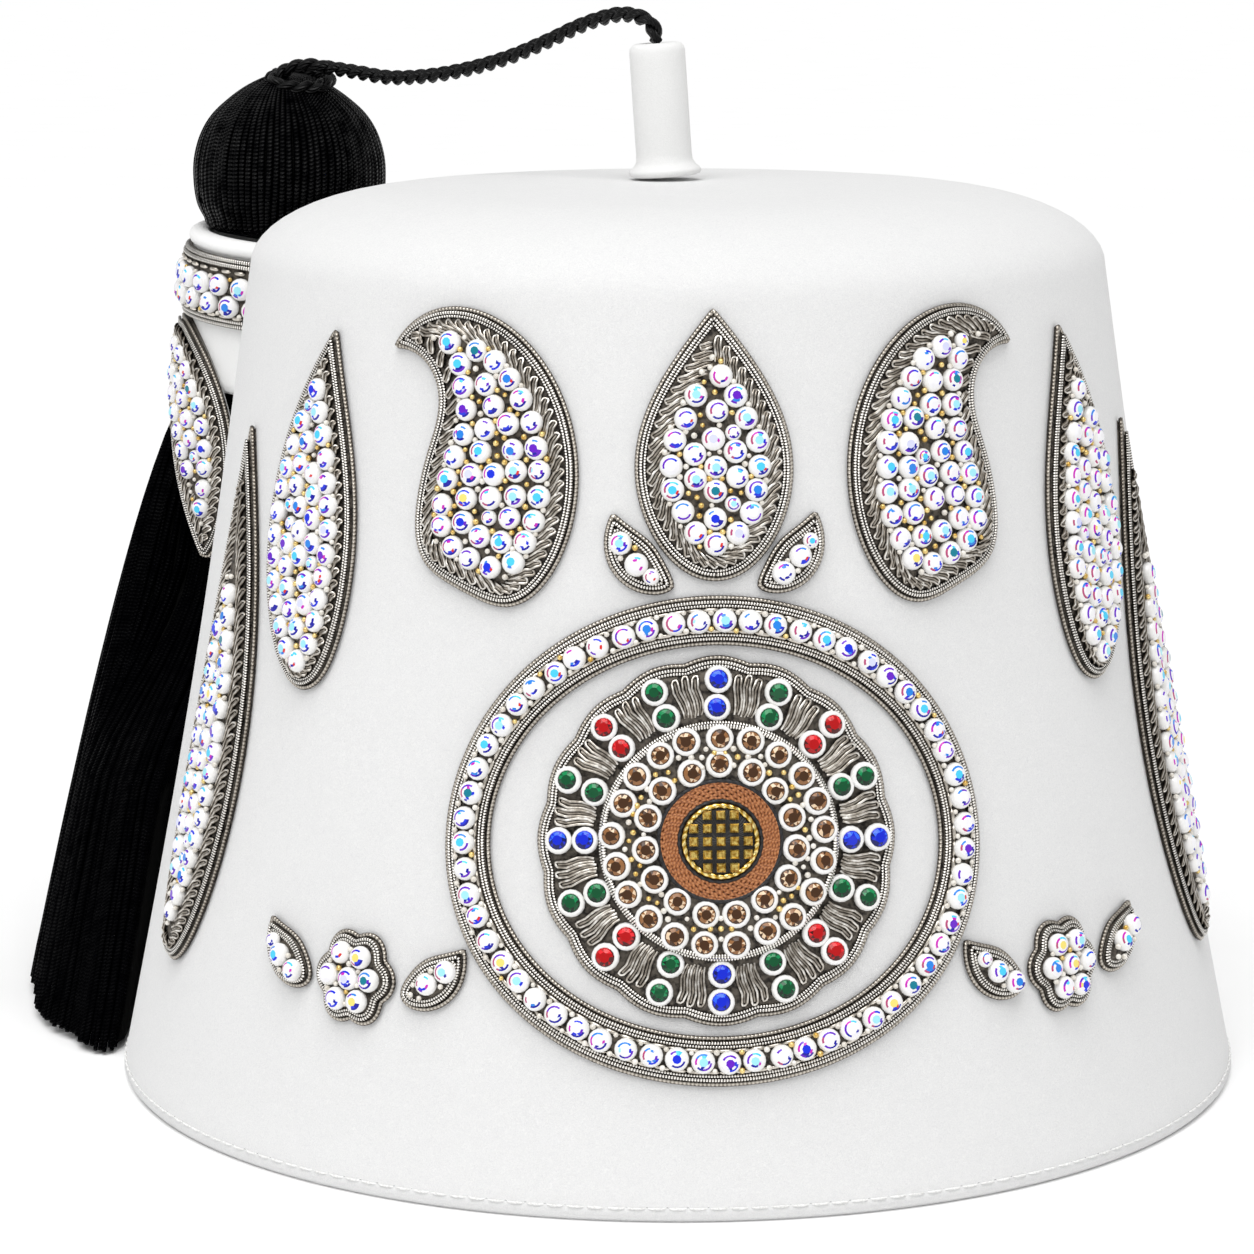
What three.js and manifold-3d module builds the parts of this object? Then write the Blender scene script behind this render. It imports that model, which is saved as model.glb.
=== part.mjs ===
// A white felt fez: hollow crown, felt stem, black cord and tassel in a jewelled cuff, and sewn
// stone-set leaves, ring, rosette and flowers. Millimetres, +Z up, the crown's front faces -Y.
// While the pieces are made, the crown's axis is x = y = 0 and its rim stands on z = 0.
import * as THREE from 'three';
import { mergeVertices } from 'three/addons/utils/BufferGeometryUtils.js';
import Module from 'manifold-3d';

const { degToRad, lerp, smoothstep } = THREE.MathUtils;

// Crown: a felt shell, open below
const crown = {
  rimRadius: 92.5, wallTop: 132.2, wallTopRadius: 69.1, waist: 1.3, felt: 2.5,
  shoulderWidth: 28, shoulderHeight: 12.2, dome: 1, segments: 48, outerSteps: 4, innerSteps: 2,
};
crown.top = crown.wallTop + crown.shoulderHeight + crown.dome;

// Stem on the middle of the top, leaning a little to the left and lifted to clear the top there
const stem = {
  x: -2, y: -1, radius: 4.5, height: 21.4, lean: 3.8, lift: 0.25, flangeRadius: 5.9, flange: 1.6, sides: 16,
};

// Gap between pieces that touch
const gap = 0.3;

// Sewn pieces on the wall: a padded base, its front centred a little right of the crown's own
const sewn = { azimuth: 4.2, pad: 2.6, gap: 0.3, leafSteps: 10, leafletSteps: 6 };

// Cut stones: an eight-sided cup narrowing to a flat table
const stone = { girdle: 1.95, table: 1.1, height: 1.8, sunk: 0.25, sides: 8 };

// Leaves: each grows from a foot along a spine that turns, and swells to its half width.
// offset: degrees from the sewn centre, foot: height, heading and turn: degrees off the vertical.
const leaves = [
  { name: 'bud', offset: 0, foot: 92, length: 39.5, heading: 0, turn: 0, ease: 1, half: 12, bulge: 0.8,
    blunt: 0.62 },
  { name: 'bud_leaf', offset: 4.6, foot: 91.2, length: 15, heading: 72, turn: -64, ease: 1, half: 3.6,
    bulge: 0.9, blunt: 0.7 },
  { name: 'paisley', offset: 29, foot: 89.5, length: 52, heading: -22, turn: 150, ease: 2, half: 13,
    bulge: 0.55, blunt: 0.5 },
  { name: 'tall_leaf', offset: 49.5, foot: 72, length: 55, heading: 14, turn: -24, ease: 1, half: 11,
    bulge: 0.8, blunt: 0.6 },
  { name: 'side_leaf', offset: 70.5, foot: 25, length: 86, heading: -14, turn: 26, ease: 1, half: 11,
    bulge: 0.75, blunt: 0.55 },
];

// Closed ring round the rosette, measured along the wall
const ring = { height: 54.8, halfWidth: 41, halfHeight: 35.2, band: 7.2, sides: 32 };

// Rosette: a lattice boss, two rings of amber stones and rays of coloured ones
const rosette = {
  radius: 26.6, scallop: 0.7, rays: 16, boss: 5.6, bossRise: 1.2, ringRise: 0.9, ringRadius: 17.2,
  amber: [{ radius: 10.9, count: 15 }, { radius: 15.1, count: 21 }], colours: [19.4, 23.5],
};

// Small flowers with a leaflet on each side, left and right of the ring
const flower = { offset: 38, height: 31.5, radius: 7.4, scallop: 1.1, petals: 6 };
const leaflet = {
  name: 'leaflet', reach: 8.4, drop: 1.5, length: 13.5, heading: 78, turn: -52, ease: 1, half: 3.7,
  bulge: 0.85, blunt: 0.6,
};

// Tassel: a wound ball over a cuff, and a skirt of cords that fans out round the rim
const tassel = {
  x: -69, y: 64, ballHeight: 144.6, neckRadius: 12.5, knotX: -65.6, knotY: 61,
  knotHeight: 161.4, knotRadius: 4.6, skirtTop: 104, skirtRadius: 14.8, locks: 14, columns: 42, rows: 7,
  fanAngle: 46.5, fanIn: 94.6, fanOut: 97, fanReach: 37, fanPower: 1.6, foot: 0.4, lift: 3.4, flute: 1.5,
};

// The ball is fuller below than above: radius and height over its middle, from the top down
const ballProfile = [
  [0, 16.8], [7.6, 13.1], [11, 10.7], [13.9, 7.9], [15.9, 4.4], [17, 0.2], [17.1, -4], [16.6, -7.6],
  [15.5, -10], [14.2, -12], [0, -13.6],
];

// Cuff: a felt tube round the tassel's neck, with a stone-set band and a hanging flap
const cuff = {
  radius: 17.1, wall: 1.7, bottom: 104.5, rim: 131.5, roll: 2.4, lean: 6.5, segments: 22,
  bandBottom: 116.6, bandTop: 128.7, bandThickness: 1.5,
  flapTop: 115.9, flapDrop: 41, flapAzimuth: -78, flapTwist: 46, flapHalf: 9.6, flapRadius: 17.5,
  flapSpread: 1.4, flapThickness: 1.5, flapRows: 9, flapColumns: 4,
};

// Cord: from the stem's mouth through the air to the knot, as points along its middle
const cordRadius = 1.3;
const cordRoute = [
  [-3.5, -1, 167.4], [-3.7, -0.9, 169.1], [-4.8, 0.1, 170.7], [-6.9, 2.2, 171.5], [-9.6, 5.3, 171.6],
  [-12.8, 8.9, 170.8], [-16.7, 13.2, 169.3], [-21.4, 18.2, 167], [-28.1, 25, 164.1], [-35.1, 32, 161.9],
  [-42.3, 39, 160.4], [-49.6, 45.9, 159.8], [-56, 51.9, 160.5], [-62.5, 58, 161.2],
];

const felt = new THREE.MeshStandardMaterial({ color: 0xf2f2f4, roughness: 0.95, metalness: 0 });
const silver = new THREE.MeshStandardMaterial({ color: 0xb9b3aa, roughness: 0.4, metalness: 0.8 });
const cords = new THREE.MeshStandardMaterial({ color: 0x101012, roughness: 0.6, metalness: 0 });

const manifold = await Module();
manifold.setup();

function solidOf(geometry) {
  const bare = geometry.index ? geometry.clone() : geometry;
  bare.deleteAttribute('normal');
  bare.deleteAttribute('uv');
  const merged = mergeVertices(bare, 1e-4);
  return new manifold.Manifold(new manifold.Mesh({
    numProp: 3,
    vertProperties: new Float32Array(merged.attributes.position.array),
    triVerts: new Uint32Array(merged.index.array),
  }));
}

function geometryOf(solid) {
  const mesh = solid.getMesh();
  const geometry = new THREE.BufferGeometry();
  geometry.setAttribute('position', new THREE.BufferAttribute(new Float32Array(mesh.vertProperties), 3));
  geometry.setIndex(Array.from(mesh.triVerts));
  return geometry;
}

// A closed body from rows of points that each go once round it. Each end is capped by a strip
// between its two halves, which face each other.
function closedTube(rows, twinOfFirst) {
  const positions = rows.flat().flatMap((point) => [point.x, point.y, point.z]);
  const columns = rows[0].length;
  const wrap = (column) => (column + columns) % columns;
  const index = [];
  for (let row = 0; row + 1 < rows.length; row += 1) {
    for (let column = 0; column < columns; column += 1) {
      const next = wrap(column + 1);
      const [a, b] = [row * columns + column, row * columns + next];
      index.push(a, b, b + columns, a, b + columns, a + columns);
    }
  }
  const last = (rows.length - 1) * columns;
  const reach = columns / 2 - 1;
  for (let step = 0; step < reach; step += 1) {
    const near = Math.ceil(twinOfFirst / 2) - 1 - reach + step;
    const corners = [near, near + 1, twinOfFirst - near - 1, twinOfFirst - near].map(wrap);
    const [a, b, c, d] = corners;
    index.push(a, d, c, a, c, b);
    index.push(last + a, last + b, last + c, last + a, last + c, last + d);
  }
  const geometry = new THREE.BufferGeometry();
  geometry.setAttribute('position', new THREE.BufferAttribute(new Float32Array(positions), 3));
  geometry.setIndex(index);
  return geometry;
}

// Turns a lathe about Y into one about Z
function upright(geometry) {
  return geometry.rotateX(Math.PI / 2);
}

// The crown's outer radius at a height on its wall
function wallRadius(height) {
  const share = height / crown.wallTop;
  return lerp(crown.rimRadius, crown.wallTopRadius, share) - crown.waist * Math.sin(Math.PI * share);
}

// Profile points of the crown's wall, from the rim up, moved out by an offset
function wallProfile(offset, steps = crown.outerSteps, bottom = 0) {
  const points = [];
  for (let step = 0; step <= steps; step += 1) {
    const height = lerp(bottom, crown.wallTop, step / steps);
    points.push(new THREE.Vector2(wallRadius(height) + offset, height));
  }
  return points;
}

function shoulderProfile(offset, steps) {
  const points = [];
  for (let step = 1; step <= steps; step += 1) {
    const angle = (step / steps) * Math.PI / 2;
    points.push(new THREE.Vector2(
      crown.wallTopRadius - crown.shoulderWidth * (1 - Math.cos(angle)) + offset * Math.cos(angle),
      crown.wallTop + crown.shoulderHeight * Math.sin(angle) + offset,
    ));
  }
  points.push(new THREE.Vector2(0, crown.top + offset));
  return points;
}

function makeCrown() {
  const { felt: thickness, innerSteps, outerSteps } = crown;
  const inside = [...wallProfile(-thickness, innerSteps), ...shoulderProfile(-thickness, innerSteps + 1)];
  const outside = [...wallProfile(0), ...shoulderProfile(0, outerSteps)];
  return upright(new THREE.LatheGeometry([...inside.reverse(), ...outside], crown.segments));
}

function makeStem() {
  const { radius, height, flangeRadius, flange, sides } = stem;
  const round = 0.9;
  const profile = [
    [0, 0], [flangeRadius - 0.4, 0], [flangeRadius, flange * 0.5], [flangeRadius - 0.4, flange],
    [radius, flange + 0.4], [radius, height - round], [radius - round, height], [radius * 0.45, height - 0.3],
    [0, height - 0.3],
  ].map(([r, z]) => new THREE.Vector2(r, z));
  return upright(new THREE.LatheGeometry(profile, sides)).rotateY(-degToRad(stem.lean));
}

function makeCord() {
  const path = new THREE.CatmullRomCurve3(cordRoute.map(([x, y, z]) => new THREE.Vector3(x, y, z)));
  const section = new THREE.Shape();
  for (let side = 0; side < 8; side += 1) {
    const angle = (side / 8) * Math.PI * 2;
    const [x, y] = [cordRadius * Math.cos(angle), cordRadius * Math.sin(angle)];
    if (side === 0) section.moveTo(x, y);
    else section.lineTo(x, y);
  }
  return new THREE.ExtrudeGeometry(section, { steps: 20, extrudePath: path, curveSegments: 1 });
}

// Middle line and half widths of a leaf, from foot to tip
function leafSpine(leaf, steps) {
  const headingAt = (share) => degToRad(leaf.heading + leaf.turn * share ** leaf.ease);
  const spine = [];
  const position = new THREE.Vector2(0, 0);
  let before = 0;
  for (let step = 0; step <= steps; step += 1) {
    const share = (1 - Math.cos((Math.PI * step) / steps)) / 2;
    const halfway = headingAt((share + before) / 2);
    const stride = leaf.length * (share - before);
    position.add(new THREE.Vector2(Math.sin(halfway), Math.cos(halfway)).multiplyScalar(stride));
    const heading = headingAt(share);
    const sharpness = lerp(leaf.blunt, 0.95, share);
    const width = leaf.half * Math.max(Math.sin(Math.PI * share ** leaf.bulge), 0) ** sharpness;
    const across = new THREE.Vector2(Math.cos(heading), -Math.sin(heading));
    spine.push({ at: position.clone(), across, width });
    before = share;
  }
  return spine;
}

function leafOutline(leaf, mirrored) {
  const spine = leafSpine(leaf, leaf.length > 20 ? sewn.leafSteps : sewn.leafletSteps);
  const side = (sign) => spine.map(({ at, across, width }) => at.clone().addScaledVector(across, sign * width));
  const outline = [...side(1), ...side(-1).slice(1, -1).reverse()];
  return mirrored ? outline.map((p) => new THREE.Vector2(-p.x, p.y)).reverse() : outline;
}

function scallopOutline(radius, scallop, lobes, pointsEach) {
  const count = lobes * pointsEach;
  return Array.from({ length: count }, (_, index) => {
    const angle = (index / count) * Math.PI * 2;
    const reach = radius - scallop + scallop * Math.abs(Math.cos((angle * lobes) / 2));
    return new THREE.Vector2(reach * Math.cos(angle), reach * Math.sin(angle));
  });
}

// A place on the wall: azimuth in degrees from the front, then along the wall and up it from there
function onWall(azimuth, height, along, up, offset) {
  const angle = degToRad(azimuth) + along / wallRadius(height);
  const radius = wallRadius(height + up) + offset;
  return new THREE.Vector3(radius * Math.sin(angle), -radius * Math.cos(angle), height + up);
}

// Directions at an azimuth: along the wall, up, and straight out
function wallBasis(angle) {
  return new THREE.Matrix4().makeBasis(
    new THREE.Vector3(Math.cos(angle), Math.sin(angle), 0),
    new THREE.Vector3(0, 0, 1),
    new THREE.Vector3(Math.sin(angle), -Math.cos(angle), 0),
  );
}

// The layer of the wall between two offsets, as a solid ring
function wallLayer(inner, outer) {
  const bottom = 3;
  const steps = crown.outerSteps;
  const profile = [...wallProfile(inner, steps, bottom), ...wallProfile(outer, steps, bottom).reverse()];
  profile.push(profile[0].clone());
  return solidOf(upright(new THREE.LatheGeometry(profile.reverse(), crown.segments)));
}

// Cuts an outline, drawn flat on the wall, out of a layer of the wall
function cutFromWall(layer, outline, azimuth, height, hole = null) {
  const flat = (points) => points.map((p) => new THREE.Vector2(
    (wallRadius(height + p.y) + 1) * Math.sin(p.x / wallRadius(height)), height + p.y,
  ));
  const shape = new THREE.Shape(flat(outline));
  if (hole) shape.holes.push(new THREE.Path(flat(hole)));
  const [near, far] = [30, 130];
  const cutter = new THREE.ExtrudeGeometry(shape, { depth: far - near, bevelEnabled: false });
  cutter.translate(0, 0, near).applyMatrix4(wallBasis(degToRad(azimuth)));
  return layer.intersect(solidOf(cutter));
}

// A cut stone standing on a sewn piece
function stoneOn(azimuth, height, along, up, pad) {
  const { girdle, table, height: tall, sunk, sides } = stone;
  const geometry = new THREE.CylinderGeometry(table, girdle, tall, sides).translate(0, tall / 2 - sunk, 0);
  const angle = degToRad(azimuth) + along / wallRadius(height);
  const slope = Math.atan((crown.rimRadius - crown.wallTopRadius) / crown.wallTop);
  const normal = new THREE.Vector3(
    Math.sin(angle) * Math.cos(slope), -Math.cos(angle) * Math.cos(slope), Math.sin(slope),
  );
  geometry.applyQuaternion(new THREE.Quaternion().setFromUnitVectors(new THREE.Vector3(0, 1, 0), normal));
  const place = onWall(azimuth, height, along, up, pad);
  return solidOf(geometry.translate(place.x, place.y, place.z));
}

function makeRing(layer) {
  const oval = (inset) => new THREE.EllipseCurve(0, 0, ring.halfWidth - inset, ring.halfHeight - inset);
  const outer = oval(0).getSpacedPoints(ring.sides).slice(1);
  const inner = oval(ring.band).getSpacedPoints(ring.sides).slice(1);
  return cutFromWall(layer, outer, sewn.azimuth, ring.height, inner);
}

function makeRosette(layer) {
  const { radius, scallop, rays, boss, bossRise, ringRise, ringRadius } = rosette;
  const disc = (reach) => new THREE.EllipseCurve(0, 0, reach, reach).getSpacedPoints(20).slice(1);
  const tier = (reach, rise) => cutFromWall(
    wallLayer(sewn.gap + 1, sewn.gap + sewn.pad + rise), disc(reach), sewn.azimuth, ring.height,
  );
  let solid = cutFromWall(layer, scallopOutline(radius, scallop, rays, 3), sewn.azimuth, ring.height);
  solid = solid.add(tier(ringRadius, ringRise)).add(tier(boss, ringRise + bossRise));
  const raised = sewn.pad + sewn.gap + ringRise;
  for (const row of rosette.amber) {
    for (let index = 0; index < row.count; index += 1) {
      const angle = (index / row.count) * Math.PI * 2;
      const [x, y] = [row.radius * Math.sin(angle), row.radius * Math.cos(angle)];
      solid = solid.add(stoneOn(sewn.azimuth, ring.height, x, y, raised));
    }
  }
  for (const reach of rosette.colours) {
    for (let index = 0; index < rays; index += 1) {
      const angle = (index / rays) * Math.PI * 2;
      const [x, y] = [reach * Math.sin(angle), reach * Math.cos(angle)];
      solid = solid.add(stoneOn(sewn.azimuth, ring.height, x, y, sewn.pad + sewn.gap));
    }
  }
  return solid;
}

// The cuff and the neck in it lean as the wall does: from the rim down they swing away from the crown
function leaned(shape) {
  const outward = Math.atan2(tassel.y, tassel.x);
  const axis = new THREE.Vector3(-Math.sin(outward), Math.cos(outward), 0);
  const lean = new THREE.Matrix4().makeTranslation(tassel.x, tassel.y, cuff.rim)
    .multiply(new THREE.Matrix4().makeRotationAxis(axis, -degToRad(cuff.lean)))
    .multiply(new THREE.Matrix4().makeTranslation(-tassel.x, -tassel.y, -cuff.rim));
  return shape.applyMatrix4(lean);
}

// Where the tassel's skirt stands on the floor, at a turn round its own middle
function skirtFoot(turn) {
  const swing = tassel.fanAngle * Math.sin(turn);
  const reach = tassel.fanOut + tassel.fanReach * (1 - Math.abs(Math.sin(turn)) ** tassel.fanPower);
  const outside = smoothstep(Math.cos(turn), -0.25, 0.25);
  const ridge = Math.abs(Math.cos((turn * tassel.locks) / 2)) - 0.5;
  const radius = lerp(tassel.fanIn, reach + tassel.flute * ridge, outside);
  const angle = Math.atan2(tassel.y, tassel.x) + degToRad(swing);
  const rise = tassel.foot + tassel.lift * outside * Math.max(Math.cos(turn), 0) * (0.7 - 0.6 * ridge);
  return new THREE.Vector3(radius * Math.cos(angle), radius * Math.sin(angle), rise);
}

// A point on the skirt: cords leave the cuff round its neck and run down to the foot. Behind the
// flap they hang close, and beside it they run out first and to the front lower down.
function skirtPoint(turn, share) {
  const outward = Math.atan2(tassel.y, tassel.x) + turn;
  const ridge = Math.abs(Math.cos((turn * tassel.locks) / 2)) - 0.5;
  const radius = tassel.skirtRadius + 0.5 * ridge;
  const top = leaned(new THREE.Vector3(
    tassel.x + radius * Math.cos(outward), tassel.y + radius * Math.sin(outward), tassel.skirtTop,
  ));
  const foot = skirtFoot(turn);
  const pressed = 0.95 * smoothstep(Math.sin(turn), 0.6, 0.82) * (1 - smoothstep(share, 0.27, 0.65));
  const lag = lerp(0.5, 1.3, smoothstep(Math.sin(turn), 0, 0.6));
  const x = lerp(top.x, foot.x, Math.sqrt(share) * (1 - pressed));
  const y = lerp(top.y, foot.y, share ** lag * (1 - pressed));
  return new THREE.Vector3(x, y, lerp(top.z, foot.z, share));
}

function makeTassel() {
  const rows = [];
  for (let row = 0; row <= tassel.rows; row += 1) {
    const share = (row / tassel.rows) ** 1.5;
    rows.push(Array.from({ length: tassel.columns }, (_, column) => (
      skirtPoint(-(column / tassel.columns) * Math.PI * 2, share)
    )));
  }
  const profile = ballProfile.map(([r, z]) => new THREE.Vector2(r, z)).reverse();
  const ball = upright(new THREE.LatheGeometry(profile, 16)).translate(tassel.x, tassel.y, tassel.ballHeight);
  const neckLength = tassel.ballHeight - tassel.skirtTop + 8;
  const neck = new THREE.CylinderGeometry(tassel.neckRadius, tassel.neckRadius, neckLength, 12);
  leaned(upright(neck).translate(tassel.x, tassel.y, tassel.ballHeight - neckLength / 2));
  const knot = new THREE.SphereGeometry(tassel.knotRadius, 10, 6).scale(1, 0.75, 0.65);
  knot.translate(tassel.knotX, tassel.knotY, tassel.knotHeight);
  return solidOf(closedTube(rows, tassel.columns / 2)).add(solidOf(neck)).add(solidOf(ball)).add(solidOf(knot));
}

function ringAbout(profile) {
  const points = [...profile, profile[0]].map(([r, z]) => new THREE.Vector2(r, z));
  return leaned(upright(new THREE.LatheGeometry(points, cuff.segments)).translate(tassel.x, tassel.y, 0));
}

function makeCuff() {
  const { radius, wall, bottom, rim, roll } = cuff;
  const inner = radius - wall;
  return ringAbout([
    [inner, bottom], [radius, bottom], [radius, rim - roll], [radius + 0.2, rim - roll * 0.6],
    [radius, rim - roll * 0.25], [radius - 0.6, rim], [inner, rim - 0.3],
  ]);
}

function makeCuffBand() {
  const inner = cuff.radius + gap;
  const outer = inner + cuff.bandThickness;
  const { bandBottom, bandTop } = cuff;
  return ringAbout([
    [inner, bandBottom], [outer - 0.5, bandBottom], [outer, bandBottom + 0.6], [outer, bandTop - 0.6],
    [outer - 0.5, bandTop], [inner, bandTop],
  ]);
}

// A point of the flap: down its length, across it, and out from its back
function flapPoint(down, across, out) {
  const radius = cuff.flapRadius + cuff.flapSpread * down;
  const half = cuff.flapHalf * Math.max(Math.sin(Math.PI * lerp(0.01, 0.98, down) ** 0.6), 0) ** 0.7;
  const twist = cuff.flapTwist * (1 - (1 - down) ** 1.6);
  const angle = degToRad(cuff.flapAzimuth + twist) + (across * half) / radius;
  const reach = radius + out;
  return leaned(new THREE.Vector3(
    tassel.x + reach * Math.sin(angle), tassel.y - reach * Math.cos(angle), cuff.flapTop - cuff.flapDrop * down,
  ));
}

function makeCuffFlap() {
  const rows = [];
  for (let row = 0; row <= cuff.flapRows; row += 1) {
    const down = row / cuff.flapRows;
    const columns = cuff.flapColumns;
    const across = Array.from({ length: columns + 1 }, (_, column) => lerp(-1, 1, column / columns));
    const back = across.map((side) => flapPoint(down, side, 0));
    const front = across.map((side) => flapPoint(down, side, cuff.flapThickness)).reverse();
    rows.push([...back, ...front]);
  }
  return closedTube(rows, 2 * cuff.flapColumns + 1);
}

const group = new THREE.Group();

function place(name, geometry, material) {
  const mesh = new THREE.Mesh(geometry, material);
  mesh.name = name;
  group.add(mesh);
  return mesh;
}

place('crown', makeCrown(), felt);
place('stem', makeStem(), felt).position.set(stem.x, stem.y, crown.top + gap + stem.lift);
place('tassel_cord', makeCord(), cords);
place('tassel', geometryOf(makeTassel()), cords);
place('cuff', makeCuff(), felt);
place('cuff_band', makeCuffBand(), silver);
place('cuff_flap', makeCuffFlap(), silver);

const padLayer = wallLayer(sewn.gap, sewn.gap + sewn.pad);
const sides = [{ side: 'left', sign: -1 }, { side: 'right', sign: 1 }];

for (const leaf of leaves) {
  for (const { side, sign } of leaf.offset === 0 ? [{ side: '', sign: 1 }] : sides) {
    const azimuth = sewn.azimuth + sign * leaf.offset;
    const name = side ? `${leaf.name}_${side}` : leaf.name;
    const solid = cutFromWall(padLayer, leafOutline(leaf, sign < 0), azimuth, leaf.foot);
    place(name, geometryOf(solid), silver);
  }
}

place('ring', geometryOf(makeRing(padLayer)), silver);
place('rosette', geometryOf(makeRosette(padLayer)), silver);

for (const { side, sign } of sides) {
  const azimuth = sewn.azimuth + sign * flower.offset;
  const petals = scallopOutline(flower.radius, flower.scallop, flower.petals, 3);
  place(`flower_${side}`, geometryOf(cutFromWall(padLayer, petals, azimuth, flower.height)), silver);
  for (const [twin, way] of [['a', -1], ['b', 1]]) {
    const foot = flower.height - leaflet.drop;
    const turned = azimuth + (way * leaflet.reach * 180) / (Math.PI * wallRadius(foot));
    const outline = leafOutline(leaflet, way < 0);
    place(`leaflet_${side}_${twin}`, geometryOf(cutFromWall(padLayer, outline, turned, foot)), silver);
  }
}

// The origin goes to the middle of the base of everything but the cord
const bounds = new THREE.Box3();
for (const mesh of group.children) {
  if (mesh.name !== 'tassel_cord') bounds.expandByObject(mesh);
}
const middle = bounds.getCenter(new THREE.Vector3());
group.position.set(-middle.x, -middle.y, -bounds.min.z);

export default group;
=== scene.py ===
import math
import random

import bpy
import numpy as np
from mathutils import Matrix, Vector


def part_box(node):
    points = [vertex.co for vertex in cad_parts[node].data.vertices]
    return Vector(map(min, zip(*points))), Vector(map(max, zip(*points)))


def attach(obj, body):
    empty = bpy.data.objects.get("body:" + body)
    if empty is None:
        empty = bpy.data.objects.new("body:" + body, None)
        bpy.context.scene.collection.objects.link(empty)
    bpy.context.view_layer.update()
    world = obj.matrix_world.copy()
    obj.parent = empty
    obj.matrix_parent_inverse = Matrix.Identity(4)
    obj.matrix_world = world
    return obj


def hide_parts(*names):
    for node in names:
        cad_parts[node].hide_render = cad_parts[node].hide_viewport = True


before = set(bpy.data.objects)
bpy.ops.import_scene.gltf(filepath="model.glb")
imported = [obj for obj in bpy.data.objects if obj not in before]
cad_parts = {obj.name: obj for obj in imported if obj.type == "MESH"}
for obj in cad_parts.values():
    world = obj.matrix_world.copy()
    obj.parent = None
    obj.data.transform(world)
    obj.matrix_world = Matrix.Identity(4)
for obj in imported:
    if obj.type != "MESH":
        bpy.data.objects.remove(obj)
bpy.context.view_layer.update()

# A white felt fez with a cord and tassel and with sewn silver and stones.
# Shapes are worked out in millimetres about the crown's axis, front towards -Y, rim on z = 0.
MM = 0.001
crown_low, crown_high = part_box("crown")
CROWN_AXIS = np.array([(crown_low.x + crown_high.x) / 2, (crown_low.y + crown_high.y) / 2, 0.0])
chance = random.Random(11)

# Crown and stem
CROWN = dict(rim_radius=92.5, wall_top=132.2, top_radius=69.1, waist=1.3, felt=2.5, shoulder_width=28,
             shoulder_height=12.2, dome=1.0)
CROWN_TOP = CROWN["wall_top"] + CROWN["shoulder_height"] + CROWN["dome"]
STEM = dict(x=-2.0, y=-1.0, radius=4.5, height=21.4, lean=3.8, lift=0.55, flange_radius=5.9, flange=1.6)
HEM = dict(stitch_height=2.2, pitch=3.0, groove=0.16, thread=0.2, stitch=2.72)

# Sewn work: an edging of three cords, folded bullion on one slant inside it, then rows of stones with
# seed beads between them. Measures are in millimetres in from the outline and out of the wall.
SEWN_AZIMUTH = 4.2
BED_HEIGHT = 1.9
EDGING = [
    dict(inset=0.4, out=0.6, radius=0.4, finish="gimp"),
    dict(inset=1.0, out=1.36, radius=0.3, finish="edging"),
    dict(inset=1.55, out=1.34, radius=0.28, finish="edging"),
]
STROKE = dict(first=2.12, longest=5.2, pitch=1.95, slant=46, wire=0.27, filling=0.27, height=0.5, out=1.7)
STONE_PITCH = 3.56
SMALL_STONE = 0.7
BAND_STONE = 1.13
STONE_OUT = 1.75
STONE_MARGIN = 5.4
SMALL_MARGIN = 2.5
FLAP_MARGIN = 5.0
ROW_GAP = (3.1, 3.7)
FIELD_PITCH = 0.25
# How near one stone may be set to another, and how much two may crowd each other, as shares of the pitch
STONE_ROOM = dict(in_rows=0.9, beside_rows=0.87, left_over=0.9, small=0.79)
CROWDING = 0.1
# Seed beads: how far from the nearest stone and, squared, from each other
BEAD_ROOM = dict(nearest=1.95, furthest=3.0, apart_squared=1.7)

# Leaves: offset in degrees from the sewn centre, foot height, then heading and turn in degrees
LEAVES = [
    dict(name="bud", offset=0, foot=92, length=39.5, heading=0, turn=0, ease=1, half=12, bulge=0.8,
         blunt=0.62),
    dict(name="bud_leaf", offset=4.6, foot=91.2, length=15, heading=72, turn=-64, ease=1, half=3.6, bulge=0.9,
         blunt=0.7),
    dict(name="paisley", offset=29, foot=89.5, length=52, heading=-22, turn=150, ease=2, half=13, bulge=0.55,
         blunt=0.5),
    dict(name="tall_leaf", offset=49.5, foot=72, length=55, heading=14, turn=-24, ease=1, half=11, bulge=0.8,
         blunt=0.6),
    dict(name="side_leaf", offset=70.5, foot=25, length=86, heading=-14, turn=26, ease=1, half=11, bulge=0.75,
         blunt=0.55),
]
LEAFLET = dict(reach=8.4, drop=1.5, length=13.5, heading=78, turn=-52, ease=1, half=3.7, bulge=0.85,
               blunt=0.6)
FLOWER = dict(offset=38, height=31.5, radius=7.4, scallop=1.1, petals=6, petal_reach=3.75)
RING = dict(height=54.8, half_width=41, half_height=35.2, band=7.2)
ROSETTE = dict(radius=26.6, scallop=0.7, rays=16, boss=5.6, ring_radius=17.2, ring_rise=0.9, boss_rise=1.2)
AMBER_ROWS = [dict(radius=10.9, count=15), dict(radius=15.1, count=21)]
COLOUR_ROWS = [19.4, 23.5]

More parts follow.
